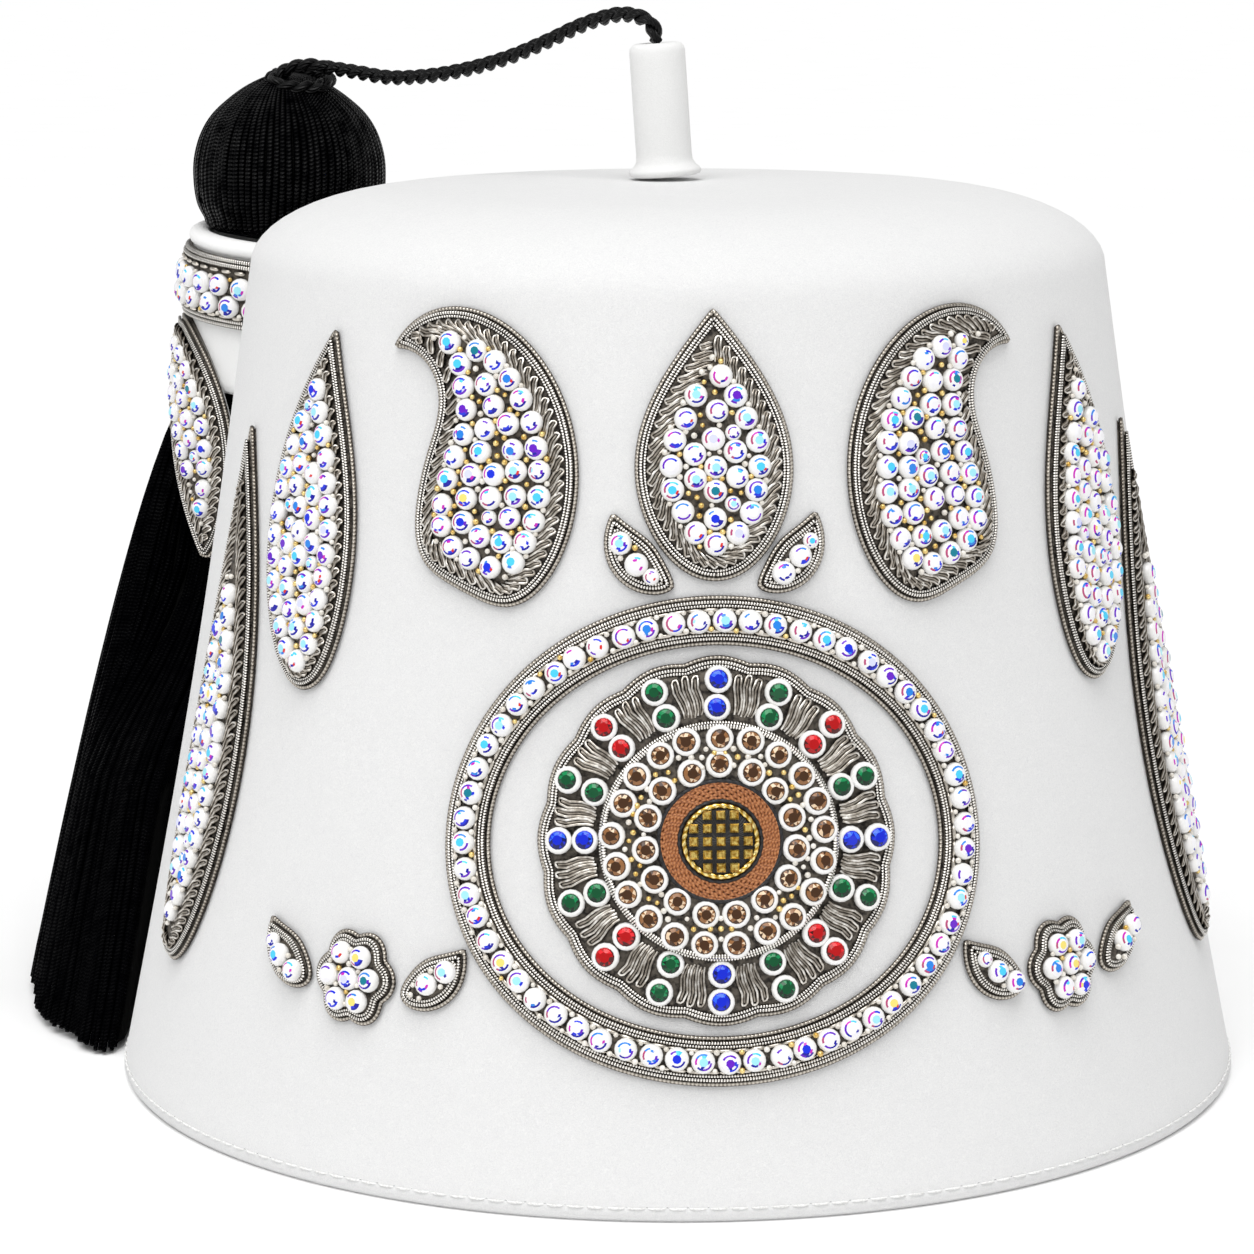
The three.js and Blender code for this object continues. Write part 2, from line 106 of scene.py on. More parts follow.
# Tassel and its cuff. The ball is fuller below than above: radius, and height over its middle.
TASSEL = dict(x=-69, y=64, ball_height=144.6, skirt_top=104, skirt_radius=14.8, locks=14, fan_angle=46.5,
              fan_in=94.6, fan_out=97, fan_reach=37, fan_power=1.6, foot=0.4, lift=2.2, flute=1.5)
TASSEL_MIDDLE = np.array([TASSEL["x"], TASSEL["y"]])
BALL = [(0.7, 15.3), (3.6, 14.9), (7.6, 13.1), (11, 10.7), (13.9, 7.9), (15.9, 4.4), (17, 0.2), (17.1, -4),
        (16.6, -7.6), (15.5, -10), (14.2, -12), (8, -13.6)]
WINDING = dict(strands=84, thickest=0.66, thinnest=0.2, by_radius=0.0385, twist=0.1, sway=0.014, loose=0.1)
FRINGE = dict(cords=400, thick=0.56, layers=4, layer_depth=0.95)
CUFF = dict(radius=17.1, wall=1.7, bottom=104.5, rim=131.5, roll=2.4, lean=6.5, band_bottom=116.6,
            band_top=128.7)
FLAP = dict(top=115.9, drop=41, azimuth=-78, twist=46, half=9.6, radius=17.5, spread=1.4)

# Cord: the middle of its route from the stem's mouth to the knot
CORD_DIAMETER = 2.6
CORD_ROUTE = [
    (-3.5, -1, 167.4), (-3.7, -0.9, 169.1), (-4.8, 0.1, 170.7), (-6.9, 2.2, 171.5), (-9.6, 5.3, 171.6),
    (-12.8, 8.9, 170.8), (-16.7, 13.2, 169.3), (-21.4, 18.2, 167), (-28.1, 25, 164.1), (-35.1, 32, 161.9),
    (-42.3, 39, 160.4), (-49.6, 45.9, 159.8), (-56, 51.9, 160.5), (-62.5, 58, 161.2),
]
CORD_TURN = 5.9

# The knot on the ball: the cord arches over, then goes once round the gathered top
KNOT_ROUTE = [
    (-61.6, 57.3, 161.1), (-64.2, 58.2, 161.5), (-67.2, 59.3, 161.2), (-69.6, 60.2, 160.2),
    (-71, 59.6, 159.1), (-70, 57.7, 158), (-66.8, 56.4, 157.6), (-63.2, 57.4, 157.9), (-61.4, 61, 158.8),
    (-63.8, 65.4, 159.6), (-68.4, 66.8, 159.8), (-71.8, 64.4, 159.4), (-71.4, 61.4, 159.2),
]


# Small sums

def lerp(a, b, share):
    return a + (b - a) * share


def smoothstep(value, low, high):
    share = np.clip((value - low) / (high - low), 0, 1)
    return share * share * (3 - 2 * share)


def unit(vectors):
    return vectors / np.maximum(np.linalg.norm(vectors, axis=-1, keepdims=True), 1e-12)


def lengths_along(line):
    """How far along a line each of its points is."""
    return np.concatenate([[0], np.cumsum(np.linalg.norm(np.diff(line, axis=0), axis=1))])


def turns_round(count):
    """Angles evenly apart, once round."""
    return 2 * np.pi * np.arange(count) / count


def on_unit_circle(angle):
    return np.stack([np.cos(angle), np.sin(angle)], -1)


def side_and_out(ahead, outward):
    """Two directions square to a line's heading: to its side, and out as nearly as that allows."""
    side = unit(np.cross(ahead, np.broadcast_to(outward, ahead.shape)))
    return side, np.cross(side, ahead)


def spaced(path, pitch, closed=False):
    """The same line with its points evenly apart, about a pitch from each other."""
    path = np.asarray(path, float)
    if closed:
        path = np.vstack([path, path[:1]])
    reach = lengths_along(path)
    count = max(int(round(reach[-1] / pitch)), 3)
    wanted = np.linspace(0, reach[-1], count + 1)[: count if closed else None]
    return np.stack([np.interp(wanted, reach, path[:, k]) for k in range(path.shape[1])], 1)


def smooth_line(points, steps):
    """A smooth line through points, as the cord's route runs in the solids."""
    points = np.asarray(points, float)
    ends = np.vstack([2 * points[0] - points[1], points, 2 * points[-1] - points[-2]])
    t = (np.arange(steps) / steps)[:, None]
    rows = []
    for a, b, c, d in zip(ends, ends[1:], ends[2:], ends[3:]):
        square, cube = 2 * a - 5 * b + 4 * c - d, 3 * b - a - 3 * c + d
        rows.append(0.5 * (2 * b + (c - a) * t + square * t**2 + cube * t**3))
    return np.vstack([*rows, points[-1:]])


def leaned(points):
    """The cuff and the neck in it lean as the wall does: from the rim down they swing away from the crown."""
    lean = math.radians(CUFF["lean"])
    away = np.append(unit(TASSEL_MIDDLE), 0.0)
    pivot = np.append(TASSEL_MIDDLE, CUFF["rim"])
    off = np.asarray(points, float) - pivot
    out, up = off @ away, off[..., 2].copy()
    off += (out * (math.cos(lean) - 1) - up * math.sin(lean))[..., None] * away
    off[..., 2] = out * math.sin(lean) + up * math.cos(lean)
    return off + pivot


# Shapes

class Shape:
    """Points in millimetres, the corners of each face, and each face's finish."""

    def __init__(self, points, corners, sizes, finish, smooth=True, uv=None):
        self.points = np.asarray(points, float).reshape(-1, 3)
        self.corners = np.asarray(corners, int).ravel()
        self.sizes = np.asarray(sizes, int).ravel()
        self.finish = np.broadcast_to(np.asarray(finish, "<U24"), self.sizes.shape).copy()
        self.smooth = np.broadcast_to(np.asarray(smooth, bool), self.sizes.shape).copy()
        self.uv = np.zeros((len(self.corners), 2)) if uv is None else np.asarray(uv, float).reshape(-1, 2)


def joined(shapes):
    starts = np.cumsum([0] + [len(shape.points) for shape in shapes[:-1]])
    return Shape(
        np.vstack([shape.points for shape in shapes]),
        np.concatenate([shape.corners + start for shape, start in zip(shapes, starts)]),
        np.concatenate([shape.sizes for shape in shapes]),
        np.concatenate([shape.finish for shape in shapes]),
        np.concatenate([shape.smooth for shape in shapes]),
        np.vstack([shape.uv for shape in shapes]),
    )


def sheet_over(points, finish, wrap_rows=False, wrap_columns=False, lengths=None, smooth=True):
    """Four-sided faces over rows and columns of points. Its UV runs round each row and along the rows."""
    rows, columns = points.shape[:2]
    spans = (rows if wrap_rows else rows - 1, columns if wrap_columns else columns - 1)
    row, column = np.indices(spans)
    here, below = row * columns, (row + 1) % rows * columns
    beside = (column + 1) % columns
    corners = np.stack([here + column, here + beside, below + beside, below + column], -1)
    along = np.arange(rows + 1, dtype=float) if lengths is None else np.asarray(lengths, float)
    across = np.stack([column, column + 1, column + 1, column], -1) / columns
    down = np.stack([along[row], along[row], along[row + 1], along[row + 1]], -1)
    uv = np.stack([across, down], -1)
    return Shape(points, corners, np.full(corners.size // 4, 4), finish, smooth, uv)


def lathe(profile, sides, finish, centre=(0, 0)):
    """A round form about a vertical line, from radius and height pairs."""
    profile = np.asarray(profile, float)
    points = np.zeros((len(profile), sides, 3))
    points[:, :, :2] = profile[:, None, :1] * on_unit_circle(turns_round(sides)) + np.asarray(centre)
    points[:, :, 2] = profile[:, None, 1]
    return sheet_over(points, finish, wrap_columns=True, lengths=np.append(lengths_along(profile), 0))


def cords(paths, radius, sides, outward, finish, closed=False):
    """Round cords, one along each path. UV: once round, and millimetres along."""
    paths = np.asarray(paths, float)
    if paths.ndim == 2:
        paths = paths[None]
    count, steps = paths.shape[:2]
    ahead = np.roll(paths, -1, 1) - np.roll(paths, 1, 1) if closed else np.gradient(paths, axis=1)
    side, out = side_and_out(unit(ahead), outward)
    angle = turns_round(sides)[:, None]
    ring = np.cos(angle) * side[:, :, None, :] + np.sin(angle) * out[:, :, None, :]
    points = paths[:, :, None, :] + np.broadcast_to(radius, (count, steps))[:, :, None, None] * ring
    made = []
    for cord_points, path in zip(points, paths):
        reach = lengths_along(path)
        reach = np.append(reach, reach[-1] + (np.linalg.norm(path[0] - path[-1]) if closed else 0))
        reach += chance.uniform(0, 9)
        made.append(sheet_over(cord_points, finish, closed, True, reach))
        if not closed:
            ends = np.concatenate([np.arange(sides)[::-1], np.arange(sides) + (steps - 1) * sides])
            made.append(Shape(cord_points, ends, [sides, sides], finish))
    return joined(made)


def repeated(shape, places, frames, sizes, finishes=None):
    """Copies of a small shape, each at its place, in its frame and at its size."""
    count = len(places)
    scaled = shape.points[None] * np.asarray(sizes, float).reshape(count, -1, 3)
    points = places[:, None] + np.einsum("kmi,kij->kmj", scaled, frames)
    shift = np.arange(count)[:, None] * len(shape.points)
    return Shape(
        points, shape.corners[None] + shift, np.tile(shape.sizes, count),
        np.tile(shape.finish, count) if finishes is None else np.concatenate(finishes),
        np.tile(shape.smooth, count), np.tile(shape.uv, (count, 1)),
    )


def make_piece(name, shapes, stands_for=()):
    """Joins shapes into the scene's piece of that name, which stands for CAD nodes."""
    shape = joined(shapes)
    mesh = bpy.data.meshes.new(name)
    points = shape.points * MM + CROWN_AXIS
    mesh.vertices.add(len(points))
    mesh.vertices.foreach_set("co", points.astype(np.float32).ravel())
    mesh.loops.add(len(shape.corners))
    mesh.loops.foreach_set("vertex_index", shape.corners.astype(np.int32))
    mesh.polygons.add(len(shape.sizes))
    starts = np.concatenate([[0], np.cumsum(shape.sizes)[:-1]])
    mesh.polygons.foreach_set("loop_start", starts.astype(np.int32))
    mesh.update(calc_edges=True)
    used, index = np.unique(shape.finish, return_inverse=True)
    for finish in used:
        mesh.materials.append(FINISHES[str(finish)])
    mesh.polygons.foreach_set("material_index", index.astype(np.int32).ravel())
    mesh.polygons.foreach_set("use_smooth", shape.smooth)
    layer = mesh.uv_layers.new(name="along_cord")
    layer.data.foreach_set("uv", shape.uv.astype(np.float32).ravel())
    mesh.validate()
    piece = bpy.data.objects.new(name, mesh)
    bpy.context.scene.collection.objects.link(piece)
    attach(piece, "root")
    if stands_for:
        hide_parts(*stands_for)
    return piece


# Materials

def colour(code):
    """An sRGB hex colour as the linear one that Blender mixes with."""
    parts = [int(code[k:k + 2], 16) / 255 for k in (1, 3, 5)]
    return (*[c / 12.92 if c <= 0.04045 else ((c + 0.055) / 1.055) ** 2.4 for c in parts], 1.0)


def add(tree, kind, inputs=None, stops=(), **settings):
    """Adds a node with its settings. An input is a value or another node's output; stops are a ramp's."""
    made = tree.nodes.new(kind)
    for name, value in settings.items():
        setattr(made, name, value)
    for name, value in (inputs or {}).items():
        if isinstance(value, bpy.types.NodeSocket):
            tree.links.new(value, made.inputs[name])
        else:
            made.inputs[name].default_value = value
    for index, (position, code) in enumerate(stops):
        elements = made.color_ramp.elements
        element = elements[index] if index < len(elements) else elements.new(position)
        element.position = position
        element.color = colour(code)
    return made


def start_material(name, **shader):
    """A new material, its node tree, and its shader with these values on its own sockets."""
    material = bpy.data.materials.new(name)
    material.use_nodes = True
    tree = material.node_tree
    surface = tree.nodes["Principled BSDF"]
    for socket, value in shader.items():
        surface.inputs[socket.replace("_", " ")].default_value = value
    return material, tree, surface


def winding(tree, across, along):
    """Waves wound round a cord: so many once round it, and so many in each millimetre along it."""
    uv = add(tree, "ShaderNodeUVMap", uv_map="along_cord").outputs["UV"]
    split = add(tree, "ShaderNodeSeparateXYZ", {"Vector": uv}).outputs
    turns = add(tree, "ShaderNodeMath", {0: split["X"], 1: across}, operation="MULTIPLY")
    slant = add(tree, "ShaderNodeMath", {0: split["Y"], 1: along, 2: turns.outputs[0]},
                operation="MULTIPLY_ADD")
    wave = add(tree, "ShaderNodeMath", {0: slant.outputs[0], 1: 2 * math.pi}, operation="MULTIPLY")
    return add(tree, "ShaderNodeMath", {0: wave.outputs[0]}, operation="SINE").outputs[0]


def wool_felt(name, low, high):
    """White wool felt, milled and pressed: matte, with fine short hairs matted into its face."""
    hair, clump, relief = 0.55, 6, 0.2
    material, tree, surface = start_material(
        name, Roughness=0.93, IOR=1.5, Specular_IOR_Level=0.25, Sheen_Weight=0.1, Sheen_Roughness=0.5,
    )
    place = add(tree, "ShaderNodeTexCoord").outputs["Object"]
    hairs = add(tree, "ShaderNodeTexNoise", {
        "Vector": place, "Scale": 1 / (hair * MM), "Detail": 4.0, "Roughness": 0.75, "Distortion": 3.0,
    }).outputs["Fac"]
    mottle = add(tree, "ShaderNodeTexNoise", {
        "Vector": place, "Scale": 1 / (clump * MM), "Detail": 3.0,
    }).outputs["Fac"]
    face = add(tree, "ShaderNodeMix", {"Factor": 0.05, "A": hairs, "B": mottle}, data_type="FLOAT")
    shade = add(tree, "ShaderNodeValToRGB", {"Fac": face.outputs["Result"]}, stops=[(0.3, low), (0.66, high)])
    tree.links.new(shade.outputs["Color"], surface.inputs["Base Color"])
    bump = add(tree, "ShaderNodeBump", {
        "Height": face.outputs["Result"], "Strength": 0.6, "Distance": relief * MM,
    })
    tree.links.new(bump.outputs["Normal"], surface.inputs["Normal"])
    return material


def twisted_rayon(name, gloss, roughness):
    """Black rayon yarn twisted into cord: dark, with a silky gleam on the crown of each slanted strand."""
    strands_round, strands_along, patch, relief = 2.0, 1.5, 2.4, 0.1
    material, tree, surface = start_material(name, Base_Color=colour("#020203"), Roughness=roughness, IOR=1.5)
    lobe = winding(tree, strands_round, strands_along)
    place = add(tree, "ShaderNodeTexCoord").outputs["Object"]
    uneven = add(tree, "ShaderNodeTexNoise", {"Vector": place, "Scale": 1 / (patch * MM), "Detail": 3.0})
    share = add(tree, "ShaderNodeMath", {0: uneven.outputs["Fac"], 1: 2.6, 2: -0.7}, operation="MULTIPLY_ADD",
                use_clamp=True)
    gleam = add(tree, "ShaderNodeMath", {0: lobe, 1: 0.34 * gloss, 2: 0.36 * gloss}, operation="MULTIPLY_ADD",
                use_clamp=True)
    gleam = add(tree, "ShaderNodeMath", {0: gleam.outputs[0], 1: share.outputs[0]}, operation="MULTIPLY")
    tree.links.new(gleam.outputs[0], surface.inputs["Specular IOR Level"])
    bump = add(tree, "ShaderNodeBump", {"Height": lobe, "Strength": 0.7, "Distance": relief * MM})
    tree.links.new(bump.outputs["Normal"], surface.inputs["Normal"])
    return material


def ply_yarn():
    """The two thick plies of the hanging cord: the same black rayon, with finer filaments along them."""
    filaments_round, filaments_along, relief = 7.0, 0.7, 0.1
    material, tree, surface = start_material(
        "ply_yarn", Base_Color=colour("#030304"), Roughness=0.34, IOR=1.5, Specular_IOR_Level=0.2,
    )
    line = winding(tree, filaments_round, filaments_along)
    bump = add(tree, "ShaderNodeBump", {"Height": line, "Strength": 0.9, "Distance": relief * MM})
    tree.links.new(bump.outputs["Normal"], surface.inputs["Normal"])
    return material


def wound_wire(name, stops, across, along, roughness, side=0.0, turns=0.5, wear=0.5, metal=1.0):
    """Drawn wire, wound or laid: painted shade at its sides and between its turns, painted highlights on its
    top and turns, and wear.
    """
    blotch, relief = 1.1, 0.06
    material, tree, surface = start_material(name, Metallic=metal, Roughness=roughness)
    turn, top = winding(tree, across, along), winding(tree, 1.0, 0.0)
    place = add(tree, "ShaderNodeTexCoord").outputs["Object"]
    worn = add(tree, "ShaderNodeTexNoise", {"Vector": place, "Scale": 1 / (blotch * MM), "Detail": 3.0})
    # side sets the painted shade on the cord's sides and the painted highlight on its top; turns sets the
    # painted highlight on each turn and the painted shade between turns.
    tone = 0.5 - side * 0.5 - wear * 0.5
    for source, share in ((top, side), (turn, turns * 0.5), (worn.outputs["Fac"], wear)):
        summed = add(tree, "ShaderNodeMath", {0: source, 1: share, 2: tone}, operation="MULTIPLY_ADD")
        tone = summed.outputs[0]
    shade = add(tree, "ShaderNodeValToRGB", {"Fac": tone}, stops=stops)
    tree.links.new(shade.outputs["Color"], surface.inputs["Base Color"])
    bump = add(tree, "ShaderNodeBump", {"Height": turn, "Strength": 0.6, "Distance": relief * MM})
    tree.links.new(bump.outputs["Normal"], surface.inputs["Normal"])
    return material


def grained(name, code, darker, grain, **shader):
    """A face with a fine grain of a real size in millimetres, and blotches of a darker tone if it has one."""
    relief = 0.05
    material, tree, surface = start_material(name, Base_Color=colour(code), **shader)
    place = add(tree, "ShaderNodeTexCoord").outputs["Object"]
    noise = add(tree, "ShaderNodeTexNoise", {"Vector": place, "Scale": 1 / (grain * MM), "Detail": 3.0})
    height = noise.outputs["Fac"]
    if darker != code:
        shade = add(tree, "ShaderNodeValToRGB", {"Fac": height}, stops=[(0.35, darker), (0.6, code)])
        tree.links.new(shade.outputs["Color"], surface.inputs["Base Color"])
    bump = add(tree, "ShaderNodeBump", {"Height": height, "Strength": 0.25, "Distance": relief * MM})
    tree.links.new(bump.outputs["Normal"], surface.inputs["Normal"])
    return material


# The film on a clear stone is a thin metal oxide; the colours it throws back are painted on fixed, one to a
# facet, as painted reflections
FILM_TINTS = dict(
    film_white="#f6f5f8", film_pale="#d9dcfb", film_deep="#1414a4", film_blue="#1a33e0", film_azure="#2a86e6",
    film_cyan="#4fd0f6", film_ice="#a5e9f6", film_teal="#157f94", film_violet="#6a1fc8", film_pink="#cc22bb",
    film_rose="#b84a78", film_red="#dd2f2a", film_yellow="#f6e27a",
)
# Foiled glass in one colour, in three tones: a painted highlight, the mid tone and painted shade
LIT_AND_SHADED_GLASS_TINTS = dict(
    amber=("#ecd0ae", "#94653c", "#452a14"), ruby=("#ec2830", "#b4040a", "#4e0105"),
    sapphire=("#3068ff", "#0826cf", "#040d62"), emerald=("#0c8a50", "#03502c", "#012414"),
)


def all_finishes():
    made = dict(
        felt=wool_felt("pressed_wool_felt", "#dededf", "#f0f0ef"),
        stem_felt=wool_felt("thin_wool_felt", "#ececeb", "#f5f5f4"),
        # The cuff's felt is paler than the crown's: painted light that makes up for the shade the cuff stands
        # in.
        cuff_felt=wool_felt("paler_wool_felt_as_light", "#f6f6f5", "#fdfdfc"),
        cord=twisted_rayon("fringe_rayon", 0.06, 0.4),
        ball_cord=twisted_rayon("wound_rayon", 0.28, 0.3),
        ply=ply_yarn(),
        core=grained("rayon_core", "#050505", "#030303", 1.5, Roughness=0.9, Specular_IOR_Level=0.1),
        # side and turns in each wire below set its painted shade and painted highlights: darker sides,
        # lighter top, light crests, dark grooves between turns.
        bullion=wound_wire(
            "laid_silver_bullion", [(0.3, "#1c1815"), (0.58, "#5c554c"), (0.8, "#a69e93"), (1.0, "#fbf8f2")],
            0.0, 0.0, 0.3, side=0.8, turns=0.0, wear=0.7,
        ),
        edging=wound_wire(
            "silver_bead_wire", [(0.3, "#1d1916"), (0.5, "#80786e"), (0.74, "#fdfaf4")], 0.0, 2.35, 0.28,
            side=0.5, turns=0.8, wear=0.4,
        ),
        gimp=wound_wire(
            "tarnished_silver_gimp", [(0.2, "#2b2622"), (0.5, "#857d73"), (0.8, "#cdc6bb")], 0.5, 1.7, 0.34,
            side=0.45, turns=0.35, wear=0.4,
        ),
        # The finer wire in each fold is darker all over: painted shade in the middle of the fold.
        dull_wire=wound_wire(
            "silver_wire_shaded_in_fold", [(0.2, "#231f1b"), (0.6, "#6f675d"), (0.95, "#b4aca1")], 0.0, 0.6, 0.34,
            side=0.6, turns=0.1,
        ),
        smooth_wire=wound_wire(
            "smooth_silver_wire", [(0.2, "#38332e"), (0.5, "#a59e93"), (0.8, "#ece6dc")], 0.0, 0.6, 0.32,
            side=0.5, turns=0.1, wear=0.6,
        ),
        gold=wound_wire(
            "gilt_bullion", [(0.2, "#5e430f"), (0.5, "#c9a03c"), (0.75, "#f8e39a")], 2.0, 0.9, 0.26,
            side=0.3, turns=0.4,
        ),
        brown=wound_wire(
            "brown_floss", [(0.25, "#4a2812"), (0.6, "#9c5c30"), (0.85, "#bd7c4a")], 2.0, 1.6, 0.5,
            side=0.4, turns=0.3, wear=0.4, metal=0.0,
        ),
        black=wound_wire(
            "black_floss", [(0.3, "#060607"), (0.8, "#242326")], 3.0, 0.8, 0.5, side=0.2, metal=0.0,
        ),
        # The backing's dark colour is painted shade: it shows in the gaps between strokes, cords and stones.
        backing=grained("dark_backing_as_shade", "#6b645b", "#26221f", 0.8, Roughness=0.6, Metallic=0.6),
        cup=grained("white_enamel_cup", "#f8f7f6", "#f0efec", 2.5, Roughness=0.14, IOR=1.52, Coat_Weight=0.6),
        seed=grained("pearl_seed", "#f3efe7", "#d6cfc2", 0.9, Roughness=0.16, IOR=1.55, Coat_Weight=0.5),
        gilt=grained("gilt_seed", "#f6dc94", "#c99b3e", 0.7, Roughness=0.22, Metallic=0.55),
        thread=grained("white_thread", "#f4f4f3", "#dcdcda", 0.35, Roughness=0.8),
        hole=grained("needle_hole_painted_shade", "#4a4948", "#333231", 0.4, Roughness=0.95),
        plate=grained("gilt_plate", "#f1d57a", "#a87c20", 0.5, Roughness=0.25, Metallic=0.8),
    )
    for name, tint in FILM_TINTS.items():
        made[name] = grained(name, tint, tint, 0.6, Roughness=0.08, IOR=1.55, Specular_IOR_Level=0.3)
    # Each colour of glass in three tones: light is a painted highlight, dark is painted shade.
    for name, tints in LIT_AND_SHADED_GLASS_TINTS.items():
        for depth, tint in zip(("light", "mid", "dark"), tints):
            made[f"{name}_{depth}"] = grained(
                f"{name}_glass_{depth}", tint, tint, 0.6, Roughness=0.06, IOR=1.55, Specular_IOR_Level=0.35,
            )
    return made


FINISHES = all_finishes()


# Camera at the photograph's place: metres in front of the crown's axis and up, and degrees that it looks down
CAMERA = dict(lens=114.33, sensor=36, shift=-0.0405, away=0.6475, up=0.1886, look_down=10.233)


def make_camera():
    lens = bpy.data.cameras.new("camera")
    lens.lens = CAMERA["lens"]
    lens.sensor_width = CAMERA["sensor"]
    lens.shift_x = CAMERA["shift"]
    lens.clip_start = 0.05
    lens.clip_end = 20
    camera = bpy.data.objects.new("camera", lens)
    bpy.context.scene.collection.objects.link(camera)
    camera.location = Vector(CROWN_AXIS) + Vector((0, -CAMERA["away"], CAMERA["up"]))
    camera.rotation_euler = (math.radians(90 - CAMERA["look_down"]), 0, 0)
    bpy.context.scene.camera = camera


make_camera()


# Cord from the stem to the knot, and the knot itself

def two_ply(path, diameter, turn, outward):
    """A cord of two plies that wind round each other."""
    path = spaced(path, 0.36)
    reach = lengths_along(path)
    side, out = side_and_out(unit(np.gradient(path, axis=0)), outward)
    plies = []
    for half in (0, math.pi):
        angle = (2 * math.pi * reach / turn + half)[:, None]
        plies.append(path + diameter * 0.235 * (np.cos(angle) * side + np.sin(angle) * out))
    return cords(plies, diameter * 0.28, 8, outward, "ply")


def make_cord():
    route = smooth_line(CORD_ROUTE, 8)
    yarn = two_ply(route, CORD_DIAMETER, CORD_TURN, (1, 1, 0))
    piece = make_piece("cord", [yarn], ["tassel_cord"])


make_cord()


# Crown and stem

def wall_radius(height):
    share = height / CROWN["wall_top"]
    return lerp(CROWN["rim_radius"], CROWN["top_radius"], share) - CROWN["waist"] * np.sin(np.pi * share)


def crown_profile(offset, steps):
    """Radius and height pairs of the crown's outside, moved in by an offset."""
    heights = np.linspace(0, CROWN["wall_top"], steps, endpoint=False)
    wall = np.stack([wall_radius(heights) - offset, heights], 1)
    angle = np.linspace(0, math.pi / 2, 14)
    shoulder = np.stack([
        CROWN["top_radius"] - CROWN["shoulder_width"] * (1 - np.cos(angle)) - offset * np.cos(angle),
        CROWN["wall_top"] + CROWN["shoulder_height"] * np.sin(angle) - offset,
    ], 1)
    shoulder[:, 1] += offset * (1 - np.sin(angle))
    edge = shoulder[-1]
    radii = np.linspace(edge[0], 0.01, 10)[1:]
    flat = np.stack([radii, edge[1] + CROWN["dome"] * (1 - (radii / edge[0]) ** 2)], 1)
    return np.vstack([wall, shoulder, flat])


def make_crown():
    """The felt shell: inside, folded hem and outside in one skin, with a dent along the hem's stitches."""
    felt, fold_height = CROWN["felt"], 1.1
    outside = crown_profile(0, 130)
    height = outside[:, 1]
    groove = HEM["groove"] * np.exp(-(((height - HEM["stitch_height"]) / 0.5) ** 2))
    fold = fold_height * (1 - np.sqrt(1 - np.clip(1 - height / fold_height, 0, 1) ** 2))
    outside[:, 0] -= (groove + fold) * (height < 8)
    inside = crown_profile(felt, 24)[::-1]
    inside[-1] = (CROWN["rim_radius"] - felt, 0.5)
    lip = [(CROWN["rim_radius"] - felt + 0.5, 0.0), (CROWN["rim_radius"] - fold_height, 0.0)]
    shell = lathe(np.vstack([inside, lip, outside[1:]]), 216, "felt")
    make_piece("crown_felt", [shell], ["crown"])


def make_hem_stitches():
    """A row of running stitches above the fold, each dipping into the felt at its ends, with a dark disc of
    painted shade at each needle hole.
    """
    radius = wall_radius(HEM["stitch_height"]) - HEM["groove"]
    count = int(2 * math.pi * radius / HEM["pitch"])
    middle = turns_round(count)
    share = np.linspace(-1, 1, 9)
    angle = middle[:, None] + share * HEM["stitch"] / 2 / radius
    rise = HEM["thread"] * (1.1 - 1.5 * share**4)
    outward = np.dstack([on_unit_circle(angle), np.zeros_like(angle)])
    paths = outward * (radius + rise)[..., None] + [0, 0, HEM["stitch_height"]]
    stitches = cords(paths, HEM["thread"] * np.sqrt(1.05 - share**2), 6, outward, "thread")
    # Small dark discs at the needle holes between stitches: painted shade in the holes.
    spots = np.hstack([on_unit_circle(middle + math.pi / count), np.zeros((count, 1))])
    places = spots * (radius + 0.02) + [0, 0, HEM["stitch_height"]]
    rim = on_unit_circle(turns_round(8)) * [0.3, 0.2]
    hole_shade_disc = Shape(np.hstack([rim, np.zeros((8, 1))]), np.arange(8), [8], "hole")
    frames = np.stack([np.cross([0, 0, 1], spots), np.tile([0, 0, 1.0], (count, 1)), spots], 1)
    make_piece("hem_stitches", [stitches, repeated(hole_shade_disc, places, frames, np.ones((count, 3)))])


def make_stem():
    """The felt stem: a tube that leans, sewn on by a small flange, open at its rounded mouth."""
    radius, height = STEM["radius"], STEM["height"]
    flange, foot = STEM["flange_radius"], STEM["flange"]
    profile = [
        (0.01, 0.25), (flange - 0.9, 0.05), (flange - 0.25, 0.25), (flange, 0.8), (flange - 0.3, 1.3),
        (radius + 0.55, foot + 0.15), (radius + 0.1, foot + 0.9), (radius, foot + 2),
        *[(radius, z) for z in np.linspace(foot + 3, height - 1.4, 12)],
        (radius - 0.12, height - 0.75), (radius - 0.5, height - 0.22), (radius - 1.05, height),
        (radius - 1.6, height - 0.15), (radius - 2, height - 0.6), (radius - 2.15, height - 1.3),
        (0.01, height - 1.4),
    ]
    tube = lathe(profile, 64, "stem_felt")
    lean = math.radians(STEM["lean"])
    x, z = tube.points[:, 0].copy(), tube.points[:, 2].copy()
    tube.points[:, 0] = x * math.cos(lean) - z * math.sin(lean) + STEM["x"]
    tube.points[:, 2] = x * math.sin(lean) + z * math.cos(lean) + CROWN_TOP + STEM["lift"]
    tube.points[:, 1] += STEM["y"]
    make_piece("stem_felt", [tube], ["stem"])


make_crown()
make_hem_stitches()
make_stem()


# Sewn work is laid out flat, in millimetres, on a patch of what carries it

